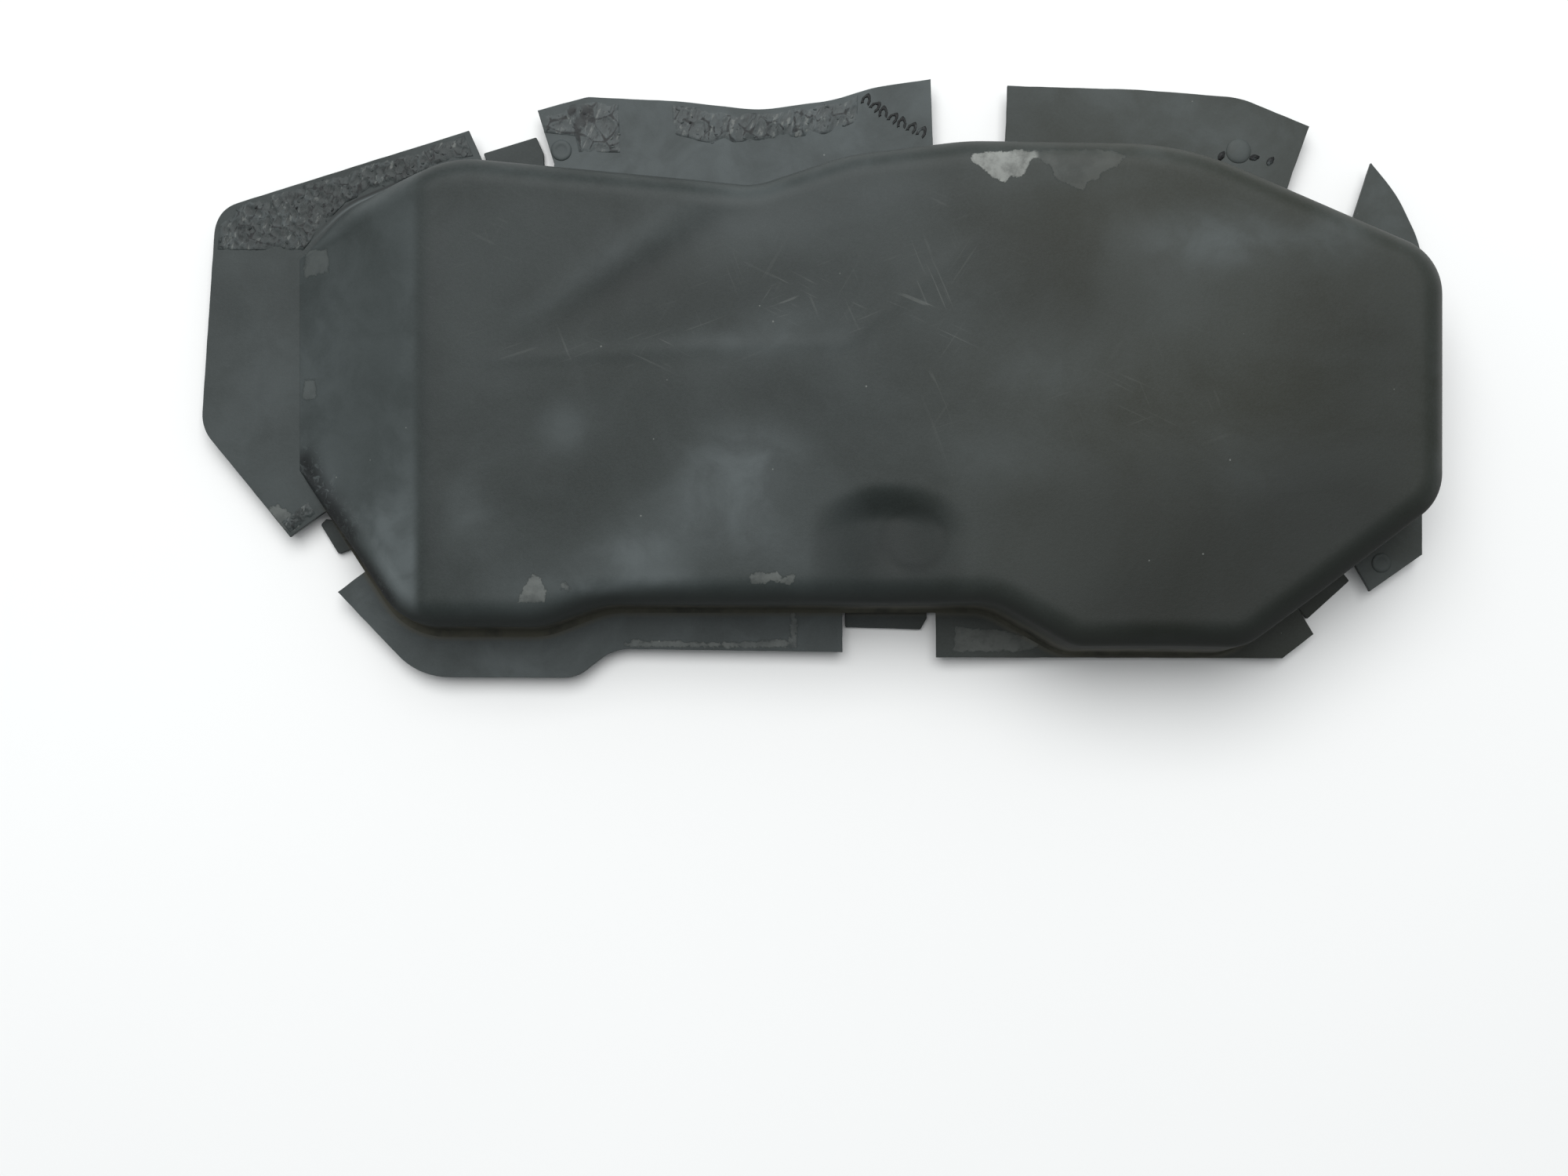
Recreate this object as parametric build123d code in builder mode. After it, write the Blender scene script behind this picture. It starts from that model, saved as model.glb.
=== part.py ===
"""Dished rubber cover with a slotted edge: a hollow pan, the cut flange that lies on the
body panel, the tabs that grip behind it, and the sealing compound left on the flange.

Millimetres, +Z up. The pan bulges towards +Z, its long side lies along X, and the origin
is under the middle of the whole outline, at the foot of the pan.
"""

import os
from math import hypot

from build123d import *

os.makedirs("parts", exist_ok=True)

# ---- driving dimensions -------------------------------------------------------------
WALL = 2.0  # moulded wall, flange and tab thickness
SLOT = 3.0  # gap between tab and flange that takes the body panel
FLANGE_LOW = WALL + SLOT  # underside of the flange
FLANGE_TOP = FLANGE_LOW + WALL
DRAFT = 5.0  # side wall draft, degrees
RIM_RADIUS = 8.0  # outside rounding between side wall and top
RIDGE_X = -116.0  # soft ridge where the left ramp meets the top
RIDGE_Z = 29.0
TOP_SLOPE = 0.05  # the top rises this much per millimetre towards +X
LEFT_X = -155.0  # crease where the ramp leaves the flange
RAMP_SLOPE = (RIDGE_Z - FLANGE_TOP) / (RIDGE_X - LEFT_X)

NOSE = 0.98  # rounding of a hinged edge, just under half the thickness
HINGE_GAP = 0.3  # free gap between a hinged edge and what it turns beside
LEDGE_BACK = WALL / 2 + HINGE_GAP  # a hinge line stands this far off the fixed edge

RECESS_LEFT, RECESS_RIGHT = 2.0, 42.0  # arched hollow at the lower edge of the top
RECESS_HEAD = -35.0
RECESS_DEPTH = 4.0
RECESS_CORNER = 14.0
RECESS_RUN = 60.0  # the hollow runs this far from its head, out past the lower edge

CLEAR_ABOVE = 60.0  # working sizes of the blocks that shape the top, clear of it all round
CLEAR_ASIDE = 240.0

PIP_HEIGHT = 0.8
DOME_HEIGHT = 1.6
SEALANT = 0.7  # thickness of the sealing compound

# Pan outline at its foot: corner x, corner y, corner radius.
PAN = [
    (LEFT_X, -28, 0),
    (-122.5, -78.3, 22),
    (-80, -78.3, 24),
    (-61, -71, 24),
    (52, -71, 16),
    (75, -84, 16),
    (125.8, -84, 18),
    (184, -39.4, 18),
    (184, 33.9, 20),
    (108, 67.6, 90),
    (45, 69, 80),
    (10, 65, 60),
    (-17, 56.3, 20),
    (-106, 65.3, 25),
    (-140, 50.8, 20),
    (LEFT_X, 36, 0),
]

# Hinge lines of the two long flaps, from one end to the other.
TOP_HINGE = ((-78, 65.6), (37, 70.8))
TOP_RIGHT_HINGE = ((59, 75.5), (146, 62.4))


def side_of(line, distance):
    """The line moved sideways, to its left seen along it."""
    (ax, ay), (bx, by) = line
    length = hypot(bx - ax, by - ay)
    dx, dy = -(by - ay) / length * distance, (bx - ax) / length * distance
    return (ax + dx, ay + dy), (bx + dx, by + dy)


def solid_pan(inset):
    """The pan as a solid block, or, with an inset, the space inside its wall."""
    with BuildSketch() as outline:
        with BuildLine():
            FilletPolyline(*[(x, y) for x, y, _ in PAN], radius=[r for _, _, r in PAN], close=True)
        make_face()
        if inset:
            offset(amount=-inset)
    ridge = RIDGE_Z - inset
    with BuildPart() as block:
        with BuildSketch(Plane.XY.offset(FLANGE_TOP)):
            add(outline.sketch)
        extrude(amount=CLEAR_ABOVE - FLANGE_TOP, taper=DRAFT)
        with BuildSketch(Plane.XZ):
            with BuildLine():
                Polyline(
                    (-CLEAR_ASIDE, ridge + (-CLEAR_ASIDE - RIDGE_X) * TOP_SLOPE),
                    (CLEAR_ASIDE, ridge + (CLEAR_ASIDE - RIDGE_X) * TOP_SLOPE),
                    (CLEAR_ASIDE, 2 * CLEAR_ABOVE),
                    (-CLEAR_ASIDE, 2 * CLEAR_ABOVE),
                    close=True,
                )
            make_face()
        extrude(amount=CLEAR_ASIDE, both=True, mode=Mode.SUBTRACT)
        rim = block.faces().sort_by(Axis.Z)[-1].outer_wire().edges().sort_by(Axis.X)
        fillet(rim[1:], RIM_RADIUS - inset)
        with BuildSketch(Plane.XZ):
            with BuildLine():
                Polyline(
                    (-CLEAR_ASIDE, ridge + (-CLEAR_ASIDE - RIDGE_X) * RAMP_SLOPE),
                    (RIDGE_X, ridge),
                    (RIDGE_X, 2 * CLEAR_ABOVE),
                    (-CLEAR_ASIDE, 2 * CLEAR_ABOVE),
                    close=True,
                )
            make_face()
        extrude(amount=CLEAR_ASIDE, both=True, mode=Mode.SUBTRACT)
        with BuildSketch(Plane.XY.offset(-inset)):
            add(outline.sketch)
        extrude(amount=FLANGE_TOP + inset)
    return block.part


def recess_block(inset):
    """What the arched hollow takes out of the pan, grown by the inset for the inner face."""
    middle = (RECESS_LEFT + RECESS_RIGHT) / 2
    width = RECESS_RIGHT - RECESS_LEFT + 2 * inset
    floor = RIDGE_Z + (middle - RIDGE_X) * TOP_SLOPE - RECESS_DEPTH - inset
    with BuildPart() as block:
        with BuildSketch(Plane.XY.offset(floor)):
            with Locations((middle, RECESS_HEAD + inset - RECESS_RUN / 2)):
                RectangleRounded(width, RECESS_RUN, RECESS_CORNER)
        extrude(amount=CLEAR_ABOVE)
    return block.part


def plate(corners, low=FLANGE_LOW, thick=WALL, cut=None):
    """A flat plate from outline corners, cut back by another solid where one is given."""
    with BuildPart() as sheet:
        with BuildSketch(Plane.XY.offset(low)):
            with BuildLine():
                FilletPolyline(*[(x, y) for x, y, _ in corners], radius=[r for _, _, r in corners], close=True)
            make_face()
        extrude(amount=thick)
        if cut:
            add(cut, mode=Mode.SUBTRACT)
    return sheet.part


def sharp(*points):
    """Corners with no radius."""
    return [(x, y, 0) for x, y in points]


def nosed(sheet, line):
    """Rounds the edge of a flap that lies along its hinge line."""
    middle = Vector(*[(a + b) / 2 for a, b in zip(*side_of(line, -WALL / 2))])
    with BuildPart() as flap:
        add(sheet)
        root = flap.faces().sort_by_distance(middle + Vector(0, 0, sheet.center().Z))[0]
        along = [edge for edge in root.edges() if edge.length > WALL * 1.5]
        fillet(along, NOSE)
    return flap.part


def write(piece, name):
    piece.label = name
    export_step(piece, f"parts/{name}.step")


pan_outside = solid_pan(0)
pan_inside = solid_pan(WALL)
recess_outside = recess_block(0)
recess_inside = recess_block(WALL)

# ---- shell: the hollow pan and the two ledges that carry the long flaps ----------------
top_ledge = plate(
    sharp(*side_of(TOP_HINGE, -LEDGE_BACK), (37, 50), (-80, 50)),
    cut=pan_outside,
)
top_right_ledge = plate(
    sharp(*side_of(TOP_RIGHT_HINGE, -LEDGE_BACK), (139, 40), (59, 50)),
    cut=pan_outside,
)
with BuildPart() as hollow:
    add(pan_inside)
    add(recess_inside, mode=Mode.SUBTRACT)
with BuildPart() as shell:
    add(pan_outside)
    add(recess_outside, mode=Mode.SUBTRACT)
    add(hollow.part, mode=Mode.SUBTRACT)
    add(top_ledge)
    add(top_right_ledge)
write(shell.part, "shell")

# ---- flanges moulded stiff round a corner of the pan: corner x, corner y, radius ---------
FLANGES = {
    "left_flange": [
        (-103.8, 75.2, 0),
        (-180.5, 51.2, 10),
        (-185, -15, 12),
        (-158, -48.1, 0),
        (-146, -39.5, 0),
        (-130, 0, 0),
        (-98.5, 40, 0),
        (-98.5, 63.5, 0),
    ],
    "right_flange": [
        (169.6, 65.4, 0),
        (177, 56.4, 40),
        (185.2, 40, 30),
        (185.2, -53.4, 0),
        (169.2, -64.6, 0),
        (162, -52, 0),
        (150, 0, 0),
        (160, 36, 0),
    ],
    "lower_right_flange": [
        (37.8, -84.6, 0),
        (142.8, -84.9, 0),
        (152.3, -77.5, 0),
        (146, -67, 0),
        (120, -60, 0),
        (37.6, -60, 0),
    ],
    "lower_left_flange": [
        (9.5, -83, 0),
        (-60, -82, 10),
        (-71, -90.8, 6),
        (-119, -90.6, 22),
        (-143.7, -64.7, 0),
        (-134, -57.5, 0),
        (-120, -60, 0),
        (9.5, -60, 0),
    ],
}
for name, corners in FLANGES.items():
    write(plate(corners, cut=pan_outside), name)

# ---- the two long flaps, hinged along their roots ----------------------------------------
TOP_WAVE = [(-68, 85.6), (-40, 83.9), (-16, 81.5), (6, 84.9), (19, 88.6), (36.2, 90.9)]
top_root = side_of(TOP_HINGE, -WALL / 2)
with BuildPart() as top_flange:
    with BuildSketch(Plane.XY.offset(FLANGE_LOW)):
        with BuildLine():
            Spline(*TOP_WAVE)
            Polyline(TOP_WAVE[-1], top_root[1], top_root[0], (-83.2, 81.3), TOP_WAVE[0])
        make_face()
    extrude(amount=WALL)
write(nosed(top_flange.part, TOP_HINGE), "top_flange")

top_right_root = side_of(TOP_RIGHT_HINGE, -WALL / 2)
top_right_corners = [
    (*top_right_root[1], 0),
    (*top_right_root[0], 0),
    (59.4, 88.8, 0),
    (98.6, 87.6, 60),
    (130, 85.2, 30),
    (151, 76.4, 0),
]
write(nosed(plate(top_right_corners), TOP_RIGHT_HINGE), "top_right_flange")

# ---- gripping tabs: the stretch of wall each one grows from, then its outer corners -------
TABS = {
    "top_left_tab": (
        ((-98, 64.49), (-81.3, 62.8)),
        [(-81.8, 69.5), (-84, 74.3), (-100.2, 69.3)],
    ),
    "lower_left_tab": (
        ((-139.7, -51.7), (-145.26, -43.1)),
        [(-148.2, -42.4), (-149.9, -44.1), (-144.4, -53.2)],
    ),
    "lower_tab": (
        ((35.3, -71), (10.4, -71)),
        [(10.4, -75.5), (33.4, -76.2), (35.3, -72.8)],
    ),
    "lower_right_tab": (
        ((161.12, -56.93), (147.23, -67.58)),
        [(151.5, -73.1), (164.5, -61.3)],
    ),
}
for name, (wall_line, outer) in TABS.items():
    root = side_of(wall_line, HINGE_GAP)
    tab = plate(sharp(*root, *outer), low=0)
    write(nosed(tab, side_of(wall_line, LEDGE_BACK)), name)

# ---- round marks moulded on the flanges: centre and radius --------------------------------
PIPS = {
    "top_left_pip": ((-75.8, 69.1), 3.2, PIP_HEIGHT, 0.5),
    "top_right_dome": ((129.4, 68.9), 3.8, DOME_HEIGHT, 1.3),
    "right_pip": ((172.7, -55.9), 3.0, PIP_HEIGHT, 0.5),
}
for name, (centre, radius, height, rounding) in PIPS.items():
    with BuildPart() as pip:
        with BuildSketch(Plane.XY.offset(FLANGE_TOP)):
            with Locations(centre):
                Circle(radius)
        extrude(amount=height)
        fillet(pip.edges().group_by(Axis.Z)[-1], rounding)
    write(pip.part, name)

# ---- sealing compound left on the flanges --------------------------------------------------
SEALANT_PATCHES = {
    "left_sealant": [
        (-179.5, 39), (-179, 46), (-172, 52.2), (-105.2, 73.2), (-102.5, 67.4), (-112, 65.6),
        (-124, 60), (-141, 53.5), (-150, 44), (-154, 38.8),
    ],
    "lower_left_sealant": [(-160.5, -43.5), (-158, -46.6), (-150.2, -41.2), (-152.5, -37.5)],
    "top_left_sealant": [
        (-81, 74.5), (-82, 80.2), (-68, 84.3), (-58.5, 83), (-58, 68.5), (-70.5, 68.5), (-71.5, 73.4),
    ],
    "top_middle_sealant": [
        (-42, 82.8), (-16, 80.2), (5.5, 83.2), (14, 85.8), (14, 78), (4, 74), (-12, 72.5),
        (-30, 71), (-42, 74),
    ],
}
for name, points in SEALANT_PATCHES.items():
    write(plate(sharp(*points), low=FLANGE_TOP, thick=SEALANT), name)

BEAD_STROKES = 7
with BuildPart() as top_bead:
    with BuildLine():
        bead_path = ThreePointArc((16, 84.4), (23.8, 77.6), (34, 73.2))
    with BuildSketch(Plane.XY.offset(FLANGE_TOP)):
        for step in range(BEAD_STROKES):
            spot = bead_path @ (step / (BEAD_STROKES - 1))
            with Locations((spot.X, spot.Y)):
                SlotOverall(3.4, 1.1, rotation=100 - 9 * step)
    extrude(amount=SEALANT)
write(top_bead.part, "top_bead")

with BuildPart() as dabs:
    with BuildSketch(Plane.XY.offset(FLANGE_TOP)):
        with Locations((133.9, 66.0), (136.8, 66.6), (139.7, 65.4)):
            Circle(0.9)
    extrude(amount=SEALANT)
write(dabs.part, "top_right_dabs")
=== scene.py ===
"""Finished pieces of a dished rubber cover: the hollow pan, its cut flanges and hinged flaps,
the tabs that grip behind a body panel, and the sealing compound left on the flanges.

Shapes are worked out in millimetres and written to the meshes in metres.
"""

from math import acos, atan2, ceil, cos, pi, radians, sin, tan

import bmesh
import bpy
import numpy as np
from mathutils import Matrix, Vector, noise
from mathutils.geometry import delaunay_2d_cdt


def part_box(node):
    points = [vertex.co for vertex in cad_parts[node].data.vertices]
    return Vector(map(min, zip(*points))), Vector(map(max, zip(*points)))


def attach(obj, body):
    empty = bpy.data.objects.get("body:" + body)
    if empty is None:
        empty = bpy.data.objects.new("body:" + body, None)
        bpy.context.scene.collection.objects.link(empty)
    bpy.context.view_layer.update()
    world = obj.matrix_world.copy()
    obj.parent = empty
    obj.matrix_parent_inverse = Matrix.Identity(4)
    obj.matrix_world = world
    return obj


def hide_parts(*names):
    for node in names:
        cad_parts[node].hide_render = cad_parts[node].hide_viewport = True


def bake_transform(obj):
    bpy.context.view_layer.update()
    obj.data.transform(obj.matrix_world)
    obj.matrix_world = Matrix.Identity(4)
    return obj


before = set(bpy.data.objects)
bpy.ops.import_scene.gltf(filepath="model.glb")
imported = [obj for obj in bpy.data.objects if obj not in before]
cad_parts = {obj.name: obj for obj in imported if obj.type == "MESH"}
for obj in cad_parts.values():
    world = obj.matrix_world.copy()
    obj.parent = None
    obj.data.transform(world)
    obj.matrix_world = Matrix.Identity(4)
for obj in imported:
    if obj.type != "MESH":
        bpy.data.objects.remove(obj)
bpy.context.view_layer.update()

bl_info = {
    "name": "Slotted Rubber Cover",
    "version": (1, 0, 0),
    "blender": (4, 5, 0),
    "location": "View3D > Sidebar > Cover",
    "description": "Builds a dished rubber cover with cut flanges, hinged flaps and gripping tabs",
    "category": "Object",
}

MM = 0.001
FLANGE_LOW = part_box("left_flange")[0].z / MM
FLANGE_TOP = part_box("left_flange")[1].z / MM
THICKNESS = FLANGE_TOP - FLANGE_LOW

# ---- plan of the moulding, in millimetres ---------------------------------------------------
LEFT_X = -155.0  # crease where the ramp leaves the left flange
RIDGE_X, RIDGE_Z = -116.0, 29.0  # soft ridge where the ramp meets the top
RIDGE_EASE = 2.4  # heights closer than this are eased into each other at the ridge
TOP_SLOPE = 0.05  # rise of the top for each millimetre towards +X
RAMP_SLOPE = (RIDGE_Z - FLANGE_TOP) / (RIDGE_X - LEFT_X)
FOLD = (-94, 3), (-20, 51.5)  # line of the moulded fold
# The long shallow crease: start and end of each stretch, and its height.
CREASE = [
    ((-94, 3), (-31, 6.4), 0.17), ((-31, 6.4), (9.7, 7.6), 0.15),
    ((9.7, 7.6), (45.8, 35.7), 0.13), ((35.7, 8.7), (35.7, -30), 0.1),
]
HOLLOW_LEFT, HOLLOW_RIGHT, HOLLOW_HEAD = 1.0, 43.0, -33.0  # arched hollow
HOLLOW_HEAD_RUN, HOLLOW_SIDE_RUN = 11.0, 22.0  # how far its head and sides slope
ROUND_RING_MIDDLE = (29.4, -50.0)  # middle of the faint round mark in the hollow

# Pan outline at its foot: corner x, corner y, corner radius.
PAN = [
    (LEFT_X, -28, 0), (-122.5, -78.3, 22), (-80, -78.3, 24), (-61, -71, 24), (52, -71, 16),
    (75, -84, 16), (125.8, -84, 18), (184, -39.4, 18), (184, 33.9, 20), (108, 67.6, 90),
    (45, 69, 80), (10, 65, 60), (-17, 56.3, 20), (-106, 65.3, 34), (-140, 50.8, 28),
    (LEFT_X, 36, 0),
]
STIFF_FLANGES = {
    "left_flange": [
        (-103.8, 75.2, 0), (-180.5, 51.2, 10), (-185, -15, 12), (-158, -48.1, 0), (-146, -39.5, 0),
        (-130, 0, 0), (-98.5, 40, 0), (-98.5, 63.5, 0),
    ],
    "right_flange": [
        (169.6, 65.4, 0), (177, 56.4, 40), (185.2, 40, 30), (185.2, -53.4, 0), (169.2, -64.6, 0),
        (162, -52, 0), (150, 0, 0), (160, 36, 0),
    ],
    "lower_right_flange": [
        (37.8, -84.6, 0), (142.8, -84.9, 0), (152.3, -77.5, 0), (146, -67, 0), (120, -60, 0),
        (37.6, -60, 0),
    ],
    "lower_left_flange": [
        (9.5, -83, 0), (-60, -82, 15), (-71, -90.8, 11), (-119, -90.6, 22), (-143.7, -64.7, 0),
        (-134, -57.5, 0), (-120, -60, 0), (9.5, -60, 0),
    ],
}
# The long flaps run from under the pan's wall, across their hinge line, to the free edge.
LONG_FLAPS = {
    "top_flange": ("top_flap", [
        (-68, 85.5, 6), (-40, 84.1, 60), (-16, 81.3, 40), (6, 84.3, 40), (19, 88.3, 50),
        (36.2, 90.8, 0), (36.9, 71.6, 5), (37.4, 50, 0), (-80, 50, 0), (-78, 65, 0),
        (-83.1, 81.3, 0),
    ]),
    "top_right_flange": ("top_right_flap", [
        (59.4, 88.8, 0), (59, 77, 6), (57.4, 50, 0), (139, 40, 0), (145.8, 62.2, 0), (151, 76.4, 0),
        (130, 85.2, 30), (98.6, 87.6, 60),
    ]),
}
# How bloomed each flange is, from 0 to 1.
FLANGE_BLOOM = {
    "left_flange": 0.27, "right_flange": 0.5, "lower_right_flange": 0.1, "lower_left_flange": 0.58,
    "top_flange": 0.8, "top_right_flange": 0.5,
}
# Tabs: the stretch of wall each grows from, then its outer corners with their radii.
TABS = {
    "top_left_tab": (
        [(-98, 64.0), (-81.3, 62.2)],
        [(-81.8, 69.5, 0.4), (-84, 74.3, 0.5), (-100.2, 69.3, 0.5)],
    ),
    "lower_left_tab": (
        [(-139.2, -51.2), (-144.8, -42.8)],
        [(-148.2, -42.4, 0.4), (-149.9, -44.1, 0.7), (-144.4, -53.2, 0.7)],
    ),
    "lower_tab": (
        [(35.3, -70.4), (10.4, -70.4)],
        [(10.4, -75.5, 0.5), (33.4, -76.2, 0.5), (35.3, -72.8, 0.4)],
    ),
    "lower_right_tab": (
        [(160.7, -56.4), (146.8, -67)],
        [(151.5, -73.1, 0.5), (164.5, -61.3, 0.5)],
    ),
}
# Round marks: body, centre, radius, height, whether the middle is dished.
ROUND_MARKS = {
    "top_left_pip": ("top_flap", (-75.8, 69.1), 3.2, 0.45, True),
    "top_right_dome": ("top_right_flap", (129.4, 68.9), 3.8, 0.7, False),
    "right_pip": ("cover", (172.7, -55.9), 3.0, 0.4, True),
}
# Sealing compound: body, outline, cell length and width, direction the cells are pulled in, seed.
COMPOUND = {
    "left_sealant": ("cover", [
        (-179.9, 39), (-179.5, 46), (-172.5, 52.7), (-105.2, 73.7), (-102.5, 67.4), (-112, 65.6),
        (-124, 60), (-141, 53.5), (-150, 44), (-154, 38.8),
    ], 3.4, 2.2, 75, 3),
    "lower_left_sealant": ("cover", [
        (-160.5, -43.5), (-158, -46.6), (-150.2, -41.2), (-152.5, -37.5),
    ], 2.6, 1.8, 35, 5),
    "top_left_sealant": ("top_flap", [
        (-81, 74.5), (-82, 80.2), (-68, 84.3), (-58.5, 83), (-58, 68.5), (-70.5, 68.5),
        (-71.5, 73.4),
    ], 5.6, 5.2, 20, 8),
    "top_middle_sealant": ("top_flap", [
        (-42, 82.8), (-16, 80.2), (5.5, 83.2), (14, 85.8), (14, 78), (4, 74), (-12, 72.5),
        (-30, 71), (-42, 74),
    ], 5.4, 3.0, 70, 13),
}
# Strokes of compound: body, arc they lie along, number, size, lean, chance in it, curled, seed.
STROKES = {
    "top_bead": (
        "top_flap", ((16.5, 84.0), (24.6, 78.4), (33.2, 74.2)), 7, (4.4, 2.5, 0.9), 1.75, 0.45,
        True, 4,
    ),
    "top_right_dabs": (
        "top_right_flap", ((124.2, 67.4), (134.2, 66.9), (139.0, 65.8)), 4, (2.9, 1.7, 0.9), 0.7,
        0.9, False, 6,
    ),
}

# ---- marks on the surface, in millimetres -----------------------------------------------------
# Pale bloom on the rubber: centre, half lengths, strength. The thin spot on the crease is a painted
# highlight; the last two, on the rim, are a painted glint.
BLOOM = [
    (-20, -27, 17, 11, 0.85), (-35, -41, 15, 9, 0.7), (-51, -54, 14, 8, 0.8),
    (-12, -48, 12, 13, 0.6), (-72, -17, 9, 7, 0.45), (-100, -43, 8, 10, 0.4),
    (-76, -63, 18, 6, 0.35), (118, 37, 22, 8, 0.75), (150, 36, 9, 8, 0.45),
    (66, -1, 16, 10, 0.32), (58, -25, 18, 9, 0.26), (127, -28, 18, 10, 0.25),
    (-8, 12, 20, 9, 0.32), (40, 18, 14, 16, 0.26), (100, 20, 20, 16, 0.2),
    (-146, -33, 4, 7, 0.5), (-20, 42, 20, 9, 0.26), (20, 50, 20, 8, 0.2), (75, 56, 26, 7, 0.25),
    # the crease's painted highlight, then the two spots of the rim's painted glint
    (-28, 7, 34, 3.5, 0.3), (-63, -64.2, 6, 2.2, 0.9), (-44, -61, 14, 2.5, 0.45),
]
# Bloom that lies on the ramp only; the last, narrow band beside the ridge is a painted highlight.
RAMP_BLOOM = [
    (-121, -54, 9, 20, 0.8), (-130, -44, 9, 9, 0.3), (-156, 5, 16, 40, 0.3),
    (-118, 10, 3, 50, 0.12),
]
# Darker stretches: darker rubber on the right lobe, the lower right and elsewhere on the right;
# painted shade in the hollow and beside the fold and ridge.
SHADE = [
    (150, -45, 34, 28, 0.95), (108, -72, 46, 18, 1.0), (160, 5, 22, 30, 0.5),
    (95, -42, 42, 22, 0.6), (22, -55, 18, 16, 0.6), (70, 20, 30, 16, 0.35),
    (-45, 24, 28, 7, 0.35), (-111, 0, 5, 50, 0.3),
]
# Where the skin has lifted, on the pan and on the flanges: how pale it is, then its outline.
PEELED = [
    (1.0, [(45.6, 61.6), (45.2, 60.2), (48, 58.1), (51.5, 54.6), (54.9, 53.2), (57, 55),
           (60.5, 54.6), (62, 57.8), (63.4, 59.8), (66, 61.8), (60, 62.8)]),
    (0.12, [(64.5, 61.6), (66, 59.4), (68.4, 57), (70, 54), (74, 52), (77.4, 50.4), (79, 53.2),
            (81.8, 53.8), (84, 57), (86.8, 56.6), (89.8, 60.6), (86, 62.4), (66, 63)]),
    (0.34, [(-81.1, -58.9), (-79.4, -61), (-77.9, -62.6), (-77.2, -67.6), (-86, -68),
            (-84.3, -63.4)]),
    (0.3, [(-72.9, -61.8), (-70.9, -61.9), (-70.6, -64.2), (-73.2, -64.4)]),
    (0.3, [(-18.6, -59.4), (-11, -58.6), (-8.4, -60.2), (-4.9, -59.4), (-5.6, -62.6),
           (-12, -61.6), (-17.6, -62.8)]),
    (0.13, [(-153.6, 30.3), (-144.6, 31.4), (-145.4, 38.6), (-153.2, 38.4)]),
    (0.1, [(-154, -7), (-149, -6.4), (-149.4, -0.6), (-153.6, -0.9)]),
]
PEELED_FLANGES = [
    (0.2, [(43.6, -75.2), (58, -76.4), (70.4, -79.6), (66, -82.6), (43, -82.8)]),
    (0.28, [(-57, -79.2), (-30, -80.2), (-7, -79), (-7.4, -81.4), (-30, -81.8), (-57, -81.2)]),
    (0.28, [(-6.2, -71), (-4.2, -71), (-4.4, -81.6), (-6.6, -81.6)]),
    (0.3, [(-162, -38), (-154.5, -43.6), (-157.8, -47.4), (-165, -39.8)]),
]
# Where scratches gather: centre, half lengths, strength.
SCUFFED = [
    (-12, 18, 26, 13, 1.0), (34, 30, 17, 16, 0.8), (38, 2, 8, 20, 0.7), (-60, 6, 34, 5, 0.6),
    (95, -10, 30, 16, 0.35), (-95, 30, 16, 22, 0.25),
]
# Bands of tar, also darkened as painted shade of the low wall beside them: start, end, half width.
TARRED = [((-153.4, -25.5), (-135, -53), 4.4), ((-138, -51), (-122, -70), 2.4)]


# ---- plan geometry ----------------------------------------------------------------------------
def rounded(corners, step):
    """Points along a closed outline with rounded corners, at most about one step apart."""
    path = []
    for i, (x, y, radius) in enumerate(corners):
        corner = np.array((x, y), float)
        if not radius:
            path.append(corner)
            continue
        back = np.array(corners[i - 1][:2]) - corner
        ahead = np.array(corners[(i + 1) % len(corners)][:2]) - corner
        back, ahead = back / np.hypot(*back), ahead / np.hypot(*ahead)
        half = acos(float(np.clip(back @ ahead, -1, 1))) / 2
        middle = (back + ahead) / np.hypot(*(back + ahead))
        centre = corner + middle * radius / sin(half)
        first, last = corner + back * radius / tan(half), corner + ahead * radius / tan(half)
        begin, end = first - centre, last - centre
        turn = atan2(begin[0] * end[1] - begin[1] * end[0], begin @ end)
        start = atan2(begin[1], begin[0])
        count = max(3, ceil(radius * abs(turn) / step))
        for k in range(count + 1):
            angle = start + turn * k / count
            path.append(centre + radius * np.array((cos(angle), sin(angle))))
    dense = []
    for here, there in zip(path, path[1:] + path[:1]):
        count = max(1, ceil(float(np.hypot(*(there - here))) / step))
        dense += [here + (there - here) * k / count for k in range(count)]
    loop = np.array(dense)
    area = np.sum(loop[:, 0] * np.roll(loop[:, 1], -1) - np.roll(loop[:, 0], -1) * loop[:, 1])
    return loop if area > 0 else loop[::-1].copy()


def inside(points, loop):
    """Whether each point lies inside the closed loop."""
    x, y = points[:, 0], points[:, 1]
    odd = np.zeros(len(points), bool)
    for (ax, ay), (bx, by) in zip(loop, np.roll(loop, -1, axis=0)):
        if ay == by:
            continue
        odd ^= ((ay > y) != (by > y)) & (x < ax + (y - ay) * (bx - ax) / (by - ay))
    return odd


def inward_of(loop):
    """Unit directions into a closed loop, one for each of its points."""
    run = np.roll(loop, -1, axis=0) - np.roll(loop, 1, axis=0)
    return np.stack([-run[:, 1], run[:, 0]], 1) / np.maximum(np.hypot(*run.T), 1e-9)[:, None]


def away(points, loop):
    """Distance of each point from the closed loop."""
    best = np.full(len(points), 1e9)
    for a, b in zip(loop, np.roll(loop, -1, axis=0)):
        run = b - a
        length = max(float(run @ run), 1e-12)
        t = np.clip((points - a) @ run / length, 0, 1)
        best = np.minimum(best, np.hypot(*(points - a - t[:, None] * run).T))
    return best


def depth_in(points, loop):
    """Distance from the loop, positive inside it."""
    gap = away(points, loop)
    return np.where(inside(points, loop), gap, -gap)


def smooth(t):
    """Smooth step from 0 to 1."""
    t = np.clip(t, 0, 1)
    return t * t * (3 - 2 * t)


def hump(distance, width):
    """Soft hump, 1 in the middle and falling off over the width."""
    return np.exp(-((distance / width) ** 2))


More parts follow.
